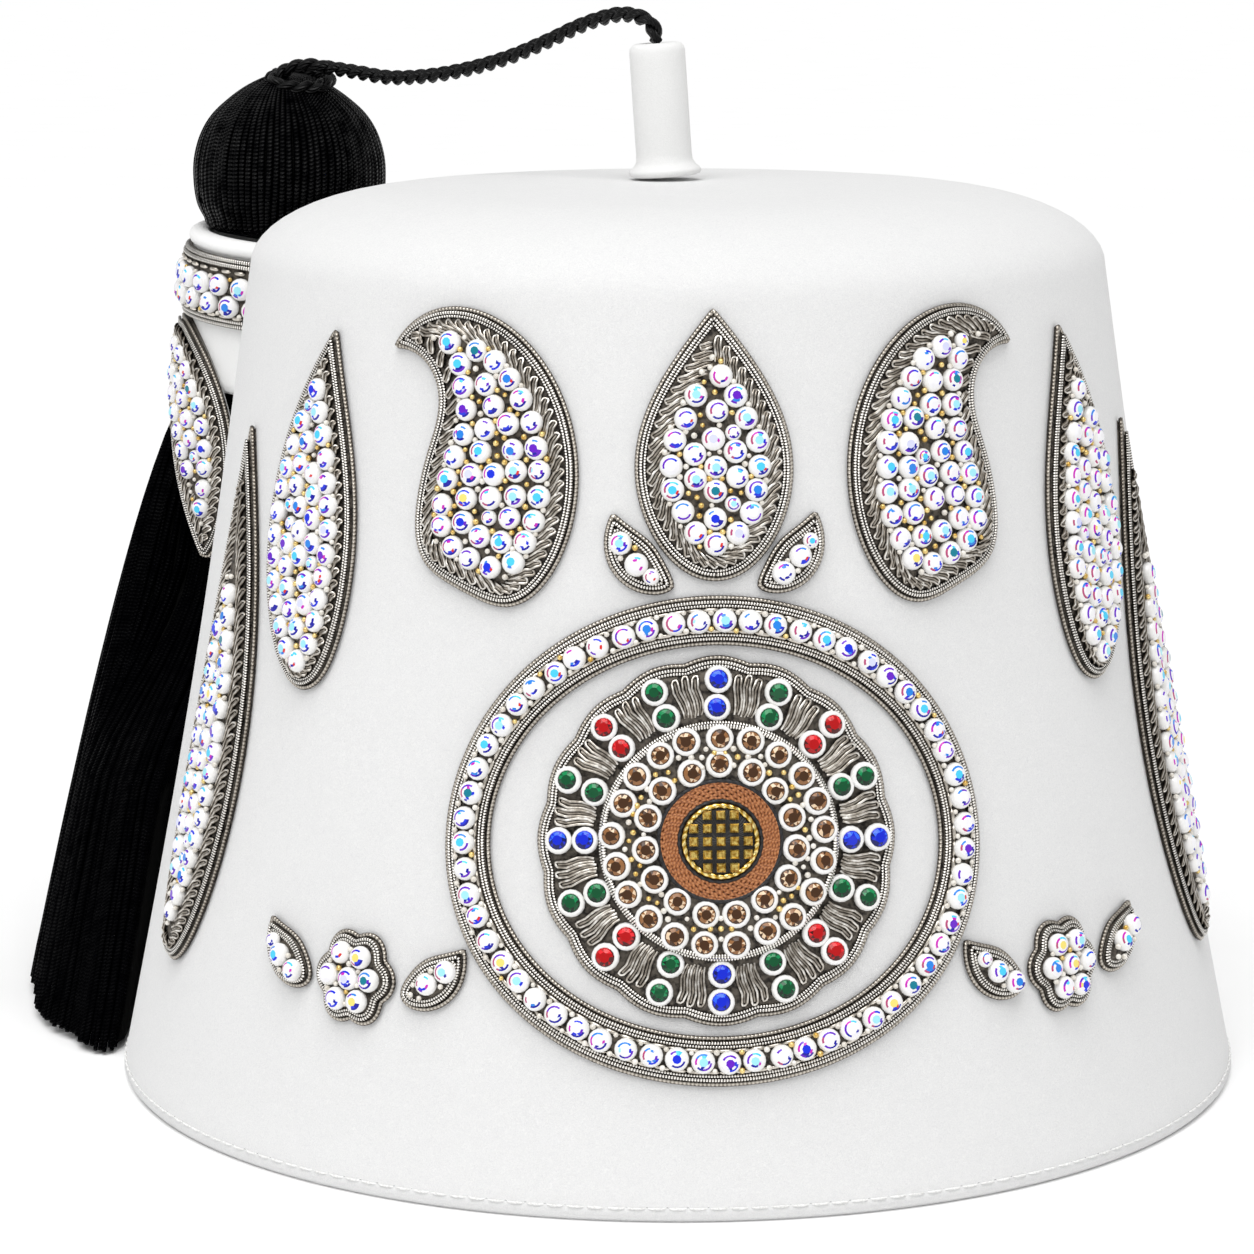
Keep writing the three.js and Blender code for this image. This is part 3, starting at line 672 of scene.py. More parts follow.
class WallPatch:
    """The crown's wall round one piece, unrolled like a cone so that distances on it are true."""

    def __init__(self, azimuth, height):
        self.azimuth = math.radians(azimuth)
        self.height = height
        self.slope = math.atan((CROWN["rim_radius"] - CROWN["top_radius"]) / CROWN["wall_top"])
        self.reach = self.cone_radius(height) / math.sin(self.slope)

    def cone_radius(self, height):
        return CROWN["rim_radius"] - height * math.tan(self.slope)

    def flatten(self, along, up):
        """Flat places for measures along the wall and up it, as the solids use them."""
        turn = along / wall_radius(self.height) * math.sin(self.slope)
        reach = self.cone_radius(self.height + up) / math.sin(self.slope)
        return np.stack([reach * np.sin(turn), self.reach - reach * np.cos(turn)], -1)

    def surface(self, xy):
        reach = np.hypot(xy[..., 0], self.reach - xy[..., 1])
        angle = self.azimuth + np.arctan2(xy[..., 0], self.reach - xy[..., 1]) / math.sin(self.slope)
        height = (CROWN["rim_radius"] - reach * math.sin(self.slope)) / math.tan(self.slope)
        radius = wall_radius(height)
        return np.stack([radius * np.sin(angle), -radius * np.cos(angle), height], -1)


def round_tassel(radius, angle, height):
    """Places round the tassel's leaning neck, at an angle from the front."""
    x, y = TASSEL_MIDDLE
    return leaned(np.stack([x + radius * np.sin(angle), y - radius * np.cos(angle), height], -1))


class CuffPatch:
    """The cuff's side, unrolled: along it and up it."""

    def surface(self, xy):
        return round_tassel(CUFF["radius"], xy[..., 0] / CUFF["radius"], xy[..., 1])


class FlapPatch:
    """The flap's face, unrolled from the cuff's side."""

    def surface(self, xy):
        radius = FLAP["radius"] + FLAP["spread"] * np.clip(-xy[..., 1] / FLAP["drop"], 0, 1.05)
        angle = math.radians(FLAP["azimuth"]) + xy[..., 0] / radius
        return round_tassel(radius, angle, FLAP["top"] + xy[..., 1])


def frames_on(patch, xy):
    """Places and frames on a patch: across, up and out of it."""
    step = 0.05
    across = unit(patch.surface(xy + [step, 0]) - patch.surface(xy - [step, 0]))
    up = patch.surface(xy + [0, step]) - patch.surface(xy - [0, step])
    out = unit(np.cross(across, up))
    return patch.surface(xy), np.stack([across, np.cross(out, across), out], -2)


def raised(patch, xy, out):
    """Places over flat ones, each so far out of the patch."""
    places, frames = frames_on(patch, xy)
    return places + frames[..., 2, :] * out[..., None]


def cord_on(patch, line, out, radius, sides, finish):
    """A closed cord laid along a flat line, so far out of the patch."""
    places, frames = frames_on(patch, line)
    return cords(places + frames[:, 2] * out, radius, sides, frames[None, :, 2], finish, closed=True)


def distance_to(loops, points):
    """The distance from each flat point to the nearest of the outline's loops."""
    nearest = np.full(len(points), 1e9)
    for loop in loops:
        ahead = np.roll(loop, -1, 0) - loop
        share = np.einsum("mnk,nk->mn", points[:, None] - loop[None], ahead)
        share /= np.maximum((ahead**2).sum(1), 1e-12)
        foot = loop[None] + np.clip(share, 0, 1)[..., None] * ahead[None]
        nearest = np.minimum(nearest, np.linalg.norm(points[:, None] - foot, axis=2).min(1))
    return nearest


def gaps_between(spots, others):
    return np.linalg.norm(spots[:, None] - others[None], axis=2)


def is_inside(loops, points):
    crossed = np.zeros(len(points), int)
    for loop in loops:
        a, b = loop[None], np.roll(loop, -1, 0)[None]
        y = points[:, None, 1]
        spans = (a[..., 1] > y) != (b[..., 1] > y)
        rise = np.where(np.abs(b[..., 1] - a[..., 1]) < 1e-12, 1e-12, b[..., 1] - a[..., 1])
        x = a[..., 0] + (y - a[..., 1]) / rise * (b[..., 0] - a[..., 0])
        crossed += (spans & (points[:, None, 0] < x)).sum(1)
    return crossed % 2 == 1


def inward(loop):
    ahead = unit(np.roll(loop, -1, 0) - np.roll(loop, 1, 0))
    return np.stack([-ahead[:, 1], ahead[:, 0]], 1)


def inset(loop, loops, distance, pitch=0.45):
    """The line at a distance inside a loop, cut off where it comes nearer to the outline."""
    moved = loop + inward(loop) * distance
    kept = moved[(distance_to(loops, moved) > distance - 0.04) & is_inside(loops, moved)]
    return spaced(kept, pitch, closed=True) if len(kept) > 8 else None


# Parts that sewn pieces share

def edging_cords(patch, loops):
    """Cords couched down side by side along the outline."""
    made = []
    for cord in EDGING:
        for loop in loops:
            line = inset(loop, loops, cord["inset"], 0.4)
            if line is not None:
                made.append(cord_on(patch, line, cord["out"], cord["radius"], 6, cord["finish"]))
    return made


def dash_shape():
    """One short length of wire, laid as a low arch: unit length, width and height."""
    share = np.linspace(-1, 1, 7)
    radius = np.maximum(1 - share**6, 0.05) ** 0.5
    path = np.stack([share / 2, np.zeros(7), np.zeros(7)], 1)
    shape = cords(path, radius, 6, (0, 0, 1), "smooth_wire")
    shape.points[:, 2] += 0.4 * (1 - (2 * shape.points[:, 0]) ** 2)
    return shape


DASH_SHAPE = dash_shape()


def lay_dashes(patch, starts, ends, out, thick):
    """Short lengths of wire between pairs of flat points."""
    places, frames = frames_on(patch, (starts + ends) / 2)
    reach = ends - starts
    length = np.linalg.norm(reach, axis=1)
    thickness = np.array([thick * chance.uniform(0.88, 1.1) for _ in length])
    sizes = np.stack([length, thickness, thickness], 1)
    return repeated(DASH_SHAPE, places + frames[:, 2] * out, turned_frames(frames, unit(reach)), sizes)


# A length of bullion folded in two, with a finer, darker one between as painted shade in the fold: share
# along it, and millimetres across it
FOLD = [(1, 0.26), (0.85, 0.36), (0.6, 0.43), (0.3, 0.45), (0.07, 0.42), (0.01, 0.28), (0, 0), (0.01, -0.28),
        (0.07, -0.42), (0.3, -0.45), (0.6, -0.43), (0.85, -0.36), (1, -0.26)]
BETWEEN = [(0.08, 0), (0.35, 0), (0.7, 0), (0.96, 0)]


def lay_strokes(patch, starts, ends):
    """Folded lengths of bullion between pairs of flat points, each a little curved and arched."""
    made = []
    reach = ends - starts
    length = np.linalg.norm(reach, axis=1)[:, None]
    heading = (reach / length)[:, None]
    aside = np.stack([-heading[..., 1], heading[..., 0]], -1)
    bend = length * np.array([[chance.uniform(0.03, 0.06)] for _ in length])
    width = np.array([[chance.uniform(0.92, 1.08)] for _ in length])
    # The finer wire sits lower, and its darker colour is painted shade between the fold's halves.
    for line, thick, sunk, finish in ((FOLD, STROKE["wire"], 0, "bullion"),
                                      (BETWEEN, STROKE["filling"], 0.14, "dull_wire")):
        share, across = np.array(line).T
        off = across[None] * width - bend * np.sin(2 * np.pi * share)[None]
        xy = starts[:, None] + heading * (share[None] * length)[..., None] + aside * off[..., None]
        rise = STROKE["out"] - sunk + STROKE["height"] * (np.sin(np.pi * share**0.7) - 0.4)
        places, frames = frames_on(patch, xy)
        out = frames[..., 2, :]
        made.append(cords(places + out * rise[:, None], thick, 6, out, finish))
    return joined(made)


def slanted_strokes(patch, loops, spots, margin):
    """Bullion all round the inside of the edging, each length on the same slant, as far as the stones."""
    made = []
    slant = math.radians(STROKE["slant"])
    step, from_stone, shortest = 0.2, 1.4, 0.9
    for loop in loops:
        line = spaced(loop, STROKE["pitch"], closed=True)
        inner = inward(line)
        leaning = np.stack([
            inner[:, 0] * math.cos(slant) - inner[:, 1] * math.sin(slant),
            inner[:, 0] * math.sin(slant) + inner[:, 1] * math.cos(slant),
        ], 1)
        start = line + inner * STROKE["first"]
        room = np.zeros(len(line))
        for reach in np.arange(3 * step, STROKE["longest"], step):
            tip = start + leaning * reach
            inside = distance_to(loops, tip)
            free = inside > STROKE["first"] + reach * math.cos(slant) * 0.8
            if len(spots):
                free &= (inside < margin - 0.3) & (gaps_between(tip, spots).min(1) > from_stone)
            room = np.where(free & (room >= reach - 3 * step - 0.01), reach, room)
        kept = (room > shortest) & (distance_to(loops, start) > STROKE["first"] - 0.12)
        if kept.any():
            made.append(lay_strokes(patch, start[kept], start[kept] + leaning[kept] * room[kept, None]))
    return made


# A stone's faces come in this order: the cup's bands, the girdle, the crown and the table
CUP_BANDS = 6
GIRDLE_SIDES = 16
TABLE_SIDES = 8
CROWN_FACETS = 3 * TABLE_SIDES
FIRST_RIM_FACET = CUP_BANDS * GIRDLE_SIDES
FIRST_CROWN_FACET = FIRST_RIM_FACET + GIRDLE_SIDES


def level_ring(radius, height, sides):
    return np.hstack([radius * on_unit_circle(turns_round(sides)), np.full((sides, 1), height)])


def stone_shape(cup, girdle, crown, table):
    """A cut stone in its cup: facets round the girdle, three to each side of the table, and the table."""
    body = sheet_over(np.array([level_ring(*ring, GIRDLE_SIDES) for ring in cup]), "cup", wrap_columns=True)
    narrow = on_unit_circle(turns_round(GIRDLE_SIDES))[::2] * table[0]
    rings = [level_ring(*ring, GIRDLE_SIDES) for ring in (girdle, crown)]
    rings.append(np.hstack([narrow, np.full((TABLE_SIDES, 1), table[1])]))
    around = np.arange(GIRDLE_SIDES)
    beyond = (around + 1) % GIRDLE_SIDES
    rim = np.stack([around, beyond, beyond + GIRDLE_SIDES, around + GIRDLE_SIDES], 1)
    faces = []
    for k in range(TABLE_SIDES):
        a, b, c = [GIRDLE_SIDES + (2 * k + step) % GIRDLE_SIDES for step in range(3)]
        d, e = 2 * GIRDLE_SIDES + k, 2 * GIRDLE_SIDES + (k + 1) % TABLE_SIDES
        faces += [(a, b, d), (b, e, d), (b, c, e)]
    corners = np.concatenate([rim.ravel(), np.ravel(faces), np.arange(TABLE_SIDES) + 2 * GIRDLE_SIDES])
    sizes = [4] * GIRDLE_SIDES + [3] * CROWN_FACETS + [TABLE_SIDES]
    return joined([body, Shape(np.vstack(rings), corners, sizes, "film_white", smooth=False)])


CLEAR_STONE = stone_shape(
    [(1.45, -0.4), (1.7, 0.0), (1.77, 0.4), (1.7, 0.8), (1.52, 1.1), (1.34, 1.25), (1.2, 1.31)],
    (1.26, 1.29), (0.98, 1.45), (0.66, 1.6),
)
COLOUR_STONE = stone_shape(
    [(1.75, -0.4), (2.03, 0.0), (2.08, 0.4), (2.0, 0.8), (1.8, 1.05), (1.55, 1.12), (1.39, 1.02)],
    (1.41, 1.03), (1.25, 1.2), (0.78, 1.5),
)

# Where a clear stone's film shows, round its girdle and on its crown, in degrees from the right: painted
# reflections set by the way each facet faces
RIM_FILM = [
    dict(first=50, last=100, share=0.7, tints=["film_azure", "film_cyan", "film_blue", "film_violet"]),
    dict(first=100, last=150, share=0.8, tints=["film_violet", "film_violet", "film_azure", "film_pink"]),
    dict(first=150, last=205, share=0.75, tints=["film_rose", "film_pink", "film_rose", "film_violet"]),
    dict(first=225, last=262, share=0.5, tints=["film_violet", "film_deep", "film_rose"]),
    dict(first=262, last=345, share=0.75, tints=["film_deep", "film_blue", "film_violet", "film_deep"]),
]
CROWN_FILM = [
    dict(first=-42, last=4, share=0.9,
         tints=["film_deep", "film_deep", "film_blue", "film_violet", "film_pink", "film_red"]),
    dict(first=-118, last=-62, share=0.62, tints=["film_blue", "film_deep", "film_blue", "film_azure"]),
    dict(first=70, last=115, share=0.3, tints=["film_cyan", "film_azure", "film_pink"]),
    dict(first=160, last=205, share=0.16, tints=["film_pink", "film_yellow", "film_ice"]),
]
TABLE_TINTS = ["film_white"] * 12 + ["film_ice"] * 4 + ["film_cyan"] * 4 + ["film_azure"] * 2 + [
    "film_teal", "film_yellow", "film_pale", "film_blue", "film_violet",
]


def clear_finishes(turn):
    """Finishes of one clear stone that is turned by so many degrees from its neighbours."""
    finish = CLEAR_STONE.finish.copy()
    for zone in RIM_FILM:
        if chance.random() < zone["share"]:
            tint = chance.choice(zone["tints"])
            for k in range(GIRDLE_SIDES):
                if zone["first"] <= ((k + 0.5) * 360 / GIRDLE_SIDES + turn) % 360 < zone["last"]:
                    finish[FIRST_RIM_FACET + k] = tint
    for zone in CROWN_FILM:
        if chance.random() < zone["share"]:
            tint = chance.choice(zone["tints"])
            for k in range(TABLE_SIDES):
                if zone["first"] <= ((k + 0.5) * 360 / TABLE_SIDES + turn + 180) % 360 - 180 < zone["last"]:
                    first = FIRST_CROWN_FACET + 3 * k
                    finish[first: first + 3] = tint
                    if chance.random() < 0.4:
                        finish[first + chance.choice([0, 2])] = "film_pale"
    finish[-1] = chance.choice(TABLE_TINTS)
    return finish


def glass_finishes(glass, turn):
    """Finishes of one coloured stone: facets facing up get a painted highlight and those facing down painted
    shade; amber's mix its three tones at random.
    """
    finish = COLOUR_STONE.finish.copy()
    # Rim facets on the upper half are mid and on the lower half painted shade; amber's are all dark.
    for k in range(GIRDLE_SIDES):
        finish[FIRST_RIM_FACET + k] = f"{glass}_{'mid' if 1 < k < 7 and glass != 'amber' else 'dark'}"
    for k in range(CROWN_FACETS):
        height = math.sin(math.radians((k + 0.5) * 360 / CROWN_FACETS + turn))
        if glass == "amber":
            depths = ["light", "mid", "dark", "mid"]
        elif height > 0.35:
            depths = ["light", "light", "mid"]
        elif height > -0.4:
            depths = ["mid", "mid", "dark", "light"]
        else:
            depths = ["dark", "dark", "mid"]
        finish[FIRST_CROWN_FACET + k] = f"{glass}_{chance.choice(depths)}"
    finish[-1] = f"{glass}_{'dark' if glass == 'amber' else 'mid'}"
    return finish


def turned_frames(frames, ahead):
    """The same frames, turned until the first direction of each is ahead, a flat direction."""
    across, up = ahead.T[..., None]
    return np.stack([
        across * frames[:, 0] + up * frames[:, 1], -up * frames[:, 0] + across * frames[:, 1], frames[:, 2],
    ], 1)


def set_stones(patch, spots, out=STONE_OUT, glass=None, scales=1.0):
    """Stones at flat places. Each is tilted a little and turned its own way."""
    places, frames = frames_on(patch, spots)
    turns = np.array([chance.uniform(-20, 20) for _ in spots])
    frames = turned_frames(frames, on_unit_circle(np.radians(turns)))
    lean = np.array([[chance.gauss(0, 0.05), chance.gauss(0, 0.05)] for _ in spots])
    up = unit(frames[:, 2] + lean[:, :1] * frames[:, 0] + lean[:, 1:] * frames[:, 1])
    across = unit(frames[:, 0] - up * (frames[:, 0] * up).sum(1, keepdims=True))
    frames = np.stack([across, np.cross(up, across), up], 1)
    if glass:
        finishes = [glass_finishes(kind, turn) for kind, turn in zip(glass, turns)]
    else:
        finishes = [clear_finishes(turn) for turn in turns]
    sizes = np.array([[chance.uniform(0.97, 1.02)] * 3 for _ in spots]) * np.reshape(scales, (-1, 1))
    shape = COLOUR_STONE if glass else CLEAR_STONE
    return repeated(shape, places + frames[:, 2] * out, frames, sizes, finishes)


def flat_field(loops, pitch, margin):
    """A fine grid of flat places further than the margin inside the outline, the deepest first."""
    low, high = np.vstack(loops).min(0), np.vstack(loops).max(0)
    x, y = np.meshgrid(np.arange(low[0], high[0], pitch), np.arange(low[1], high[1], pitch))
    field = np.stack([x.ravel(), y.ravel()], 1)
    field = field[is_inside(loops, field)]
    room = distance_to(loops, field)
    order = np.argsort(-room, kind="stable")
    return field[order][room[order] > margin], room.max()


def pushed_apart(spots, field, steps):
    """Stones that crowd each other move apart, as by hand, and none leaves the field."""
    for step in range(steps):
        apart = spots[:, None] - spots[None]
        gap = np.linalg.norm(apart, axis=2) + np.eye(len(spots)) * 99
        push = np.maximum(STONE_PITCH - gap, 0) / gap
        spots = spots + (apart * push[..., None]).sum(1) * 0.3
        if step % 4 == 3:
            off = gaps_between(spots, field)
            spots = np.where(off.min(1)[:, None] > 0.2, field[off.argmin(1)], spots)
    return spots


def spread_out(places, gap_squared, kept):
    """Adds to the kept places each one that is far enough from all of them."""
    for point in places:
        if all((point[0] - x) ** 2 + (point[1] - y) ** 2 > gap_squared for x, y in kept):
            kept.append(tuple(point))
    return kept


def stone_spots(loops, margin):
    """Stones in even rows that follow the outline: their places and sizes, and the margin that they keep."""
    deepest = flat_field(loops, FIELD_PITCH, 0)[1]
    rows = int(round((deepest - margin) / np.mean(ROW_GAP)))
    gap = np.clip((deepest - margin) / max(rows, 1), *ROW_GAP)
    if rows:
        margin = deepest - rows * gap
    field = flat_field(loops, FIELD_PITCH, margin)[0]
    room = {name: (STONE_PITCH * share) ** 2 for name, share in STONE_ROOM.items()}
    lines = [inset(loops[0], loops, margin + 0.02 + k * gap, STONE_PITCH) for k in range(rows)]
    rings = [point for line in lines if line is not None for point in line]
    spots = spread_out(field, room["beside_rows"], spread_out(rings, room["in_rows"], []))
    spots = pushed_apart(np.array(spots), field, 80)
    while len(spots) > 1:
        crowding = np.maximum(STONE_PITCH - gaps_between(spots, spots) - np.eye(len(spots)) * 99, 0)
        if crowding.max() < STONE_PITCH * CROWDING:
            break
        spots = pushed_apart(np.delete(spots, crowding.sum(1).argmax(), axis=0), field, 40)
    full_size = spread_out(field, room["left_over"], [tuple(spot) for spot in spots])
    spots = spread_out(field, room["small"], list(full_size))
    scales = [1.0] * len(full_size) + [SMALL_STONE] * (len(spots) - len(full_size))
    return np.array(spots), scales, margin


def bead_shape():
    angle = np.linspace(-math.pi / 2, math.pi / 2, 6)
    return lathe(np.stack([np.maximum(np.cos(angle), 0.01), np.sin(angle)], 1), 8, "seed")


SEED_SHAPE = bead_shape()


def beads_at(patch, spots, out, gilt):
    """Seed beads at flat places; gilt is the share of them that is gold."""
    places, frames = frames_on(patch, spots)
    sizes = np.array([[chance.uniform(0.38, 0.5)] * 3 for _ in spots])
    shape = repeated(SEED_SHAPE, places + frames[:, 2] * out, frames, sizes)
    kinds = ["gilt" if chance.random() < share else "seed" for share in np.broadcast_to(gilt, len(spots))]
    shape.finish = np.repeat(kinds, len(SEED_SHAPE.sizes)).astype("<U24")
    return shape


def seed_beads(patch, loops, spots, margin, out=BED_HEIGHT + 0.45):
    """Tiny beads in the gaps between the stones: mostly gilt among them, and pearl along the outline."""
    field = flat_field(loops, 0.3, max(margin - 1.2, 2.05))[0]
    if not len(spots) or not len(field):
        return []
    nearest = gaps_between(field, spots).min(1)
    order = np.argsort(-nearest, kind="stable")
    free = (nearest[order] > BEAD_ROOM["nearest"]) & (nearest[order] < BEAD_ROOM["furthest"])
    beads = np.array(spread_out(field[order][free], BEAD_ROOM["apart_squared"], []))
    if not len(beads):
        return []
    gilt = np.where(distance_to(loops, beads) > margin + 0.6, 0.7, 0.15)
    return [beads_at(patch, beads, out, gilt)]


# The bed under the sewing: its height by how far a place is from the outline, in millimetres
BED_REACH = [0, 0.4, 0.55, 0.8, 1.5, 2.8, 5]
BED_RISE = [-0.4, -0.3, 0.45, 0.85, 1.15, 1.6, 1.9]


def bed_between(patch, loops, first, second, closed=False, both=True):
    """The padded bed from one edge line to another, rounded at both or only at the first."""
    wide = np.linalg.norm(second - first, axis=1)
    kept = wide > 0.3
    first, second, wide = first[kept], second[kept], wide[kept]
    side = np.array([0.3, 0.5, 0.65, 1.0, 1.6, 2.8])[None] / wide[:, None]
    middle = np.full((len(wide), 1), 0.5 if both else 1.0)
    side = np.minimum(side, middle)
    shares = np.hstack([side, middle, 1 - side[:, ::-1]] if both else [side, middle])
    xy = first[:, None] * (1 - shares)[..., None] + second[:, None] * shares[..., None]
    inside = distance_to(loops, xy.reshape(-1, 2)).reshape(shares.shape)
    return sheet_over(raised(patch, xy, np.interp(inside, BED_REACH, BED_RISE)), "backing", wrap_rows=closed)


def leaf_spine(leaf, steps=56):
    """A leaf's middle line, the direction across it and its half width, from foot to tip."""
    share = (1 - np.cos(np.pi * np.arange(steps + 1) / steps)) / 2
    halfway = np.radians(leaf["heading"] + leaf["turn"] * ((share[1:] + share[:-1]) / 2) ** leaf["ease"])
    strides = np.stack([np.sin(halfway), np.cos(halfway)], 1) * (leaf["length"] * np.diff(share))[:, None]
    at = np.vstack([[0, 0], np.cumsum(strides, axis=0)])
    heading = np.radians(leaf["heading"] + leaf["turn"] * share ** leaf["ease"])
    blunt = lerp(leaf["blunt"], 0.95, share)
    width = leaf["half"] * np.maximum(np.sin(np.pi * share ** leaf["bulge"]), 0) ** blunt
    return at, np.stack([np.cos(heading), -np.sin(heading)], 1), width


def leaf_work(patch, loops, first, second, margin, stone_out=STONE_OUT, bead_out=BED_HEIGHT + 0.45):
    """A padded leaf and all that is sewn on it: its edging, bullion, stones and seed beads."""
    spots, scales, margin = stone_spots(loops, margin)
    return [
        bed_between(patch, loops, first, second), *edging_cords(patch, loops),
        *slanted_strokes(patch, loops, spots, margin), set_stones(patch, spots, stone_out, scales=scales),
        *seed_beads(patch, loops, spots, margin, bead_out),
    ]


def sew_on(node, shapes):
    """The sewn piece that stands for a node."""
    make_piece(f"{node}_sewn", shapes, [node])


def sewn_leaf(name, leaf, azimuth, height, mirrored):
    at, across, width = leaf_spine(leaf)
    right, left = at + across * width[:, None], at - across * width[:, None]
    if mirrored:
        right, left = left * [-1, 1], right * [-1, 1]
    patch = WallPatch(azimuth, height)
    right, left = patch.flatten(right[:, 0], right[:, 1]), patch.flatten(left[:, 0], left[:, 1])
    loops = [spaced(np.vstack([right, left[-2:0:-1]]), 0.5, closed=True)]
    margin = SMALL_MARGIN if leaf["length"] < 20 else STONE_MARGIN
    sew_on(name, leaf_work(patch, loops, right, left, margin))


def round_loop(patch, radius, lobes, scallop, points):
    """A scalloped round outline."""
    angle = turns_round(points)
    reach = radius - scallop + scallop * np.abs(np.cos(angle * lobes / 2))
    return patch.flatten(reach * np.cos(angle), reach * np.sin(angle))


def sewn_ring():
    """The oval ring: one row of clear stones, with smooth wire laid along both of its sides."""
    patch = WallPatch(SEWN_AZIMUTH, RING["height"])
    angle = turns_round(400)
    half, cos, sin = np.array([RING["half_width"], RING["half_height"]]), np.cos(angle), np.sin(angle)
    outer, inner = [patch.flatten(width * cos, height * sin) for width, height in (half, half - RING["band"])]
    loops = [outer, inner[::-1]]
    middle = spaced((outer + inner) / 2, 3.72, closed=True)
    made = [bed_between(patch, loops, outer, inner, closed=True), *edging_cords(patch, loops)]
    for share in (0.29, 0.71):
        line = spaced(outer * (1 - share) + inner * share, 2.4, closed=True)
        made.append(lay_dashes(patch, line, np.roll(line, -1, 0), 1.5, 0.34))
    made += [set_stones(patch, middle), *seed_beads(patch, loops, middle, 3.4)]
    sew_on("ring", made)


def sewn_flower(side, azimuth):
    """A flower: one clear stone in the middle and one on each petal."""
    patch = WallPatch(azimuth, FLOWER["height"])
    petals = FLOWER["petals"]
    loop = round_loop(patch, FLOWER["radius"], petals, FLOWER["scallop"], 180)
    spots = np.vstack([[[0, 0]], on_unit_circle(turns_round(petals)) * FLOWER["petal_reach"]])
    made = [bed_between(patch, [loop], loop, np.zeros_like(loop), closed=True, both=False)]
    made += [*edging_cords(patch, [loop]), set_stones(patch, spots), *seed_beads(patch, [loop], spots, 3.4)]
    sew_on(f"flower_{side}", made)


def circle_on(patch, radius, out, thickness, finish, wave=0.0):
    """One cord laid round the patch's middle, in small waves if wanted."""
    waves = int(2 * math.pi * radius / 1.3)
    angle = turns_round(waves * 6 if wave else max(int(2 * math.pi * radius / 0.4), 24))
    reach = radius + wave * np.sin(waves * angle)
    return cord_on(patch, on_unit_circle(angle) * reach[:, None], out, thickness, 8, finish)


def disc_on(patch, radius, section, finish):
    """A low round rise about the patch's middle: share of its radius, and height, from rim to middle."""
    shares, heights = np.array(section).T
    xy = on_unit_circle(turns_round(96))[:, None] * (radius * shares)[:, None]
    return sheet_over(raised(patch, xy, np.broadcast_to(heights, xy.shape[:2])), finish, wrap_rows=True)


def on_circle(radius, count, start=0.0):
    """Flat places evenly round the patch's middle, from the top and to the right."""
    return radius * on_unit_circle(math.pi / 2 - 2 * np.pi * (np.arange(count) + start) / count)


def lattice_boss(patch, top):
    """A black satin boss with small gilt plates in a square lattice inside a gilt ring."""
    rise, radius = ROSETTE["boss_rise"], ROSETTE["boss"]
    made = [disc_on(patch, radius, [(1, top - 0.6), (1, top + 0.3), (0.9, top + 0.75), (0.6, top + rise),
                                    (0.01, top + rise + 0.35)], "black")]
    made.append(circle_on(patch, radius - 0.45, top + 0.75, 0.42, "gold"))
    pitch, plate, thick = 1.9, 0.66, 0.34
    steps = np.arange(-2, 3) * pitch
    spots = np.stack(np.meshgrid(steps, steps), -1).reshape(-1, 2)
    spots = spots[np.linalg.norm(spots, axis=1) < radius - 1.35]
    places, frames = frames_on(patch, spots)
    corners = np.array([(-1, -1), (1, -1), (1, 1), (-1, 1)]) * plate
    low, high = np.hstack([corners, np.zeros((4, 1))]), np.hstack([corners * 0.62, np.full((4, 1), thick)])
    faces = [(0, 1, 5, 4), (1, 2, 6, 5), (2, 3, 7, 6), (3, 0, 4, 7), (4, 5, 6, 7)]
    stud = Shape(np.vstack([low, high]), faces, [4] * 5, "plate", smooth=False)
    out = top + rise + 0.3 - 0.35 * (np.linalg.norm(spots, axis=1) / radius) ** 2
    made.append(repeated(stud, places + frames[:, 2] * out[:, None], frames, np.ones((len(spots), 3))))
    return made


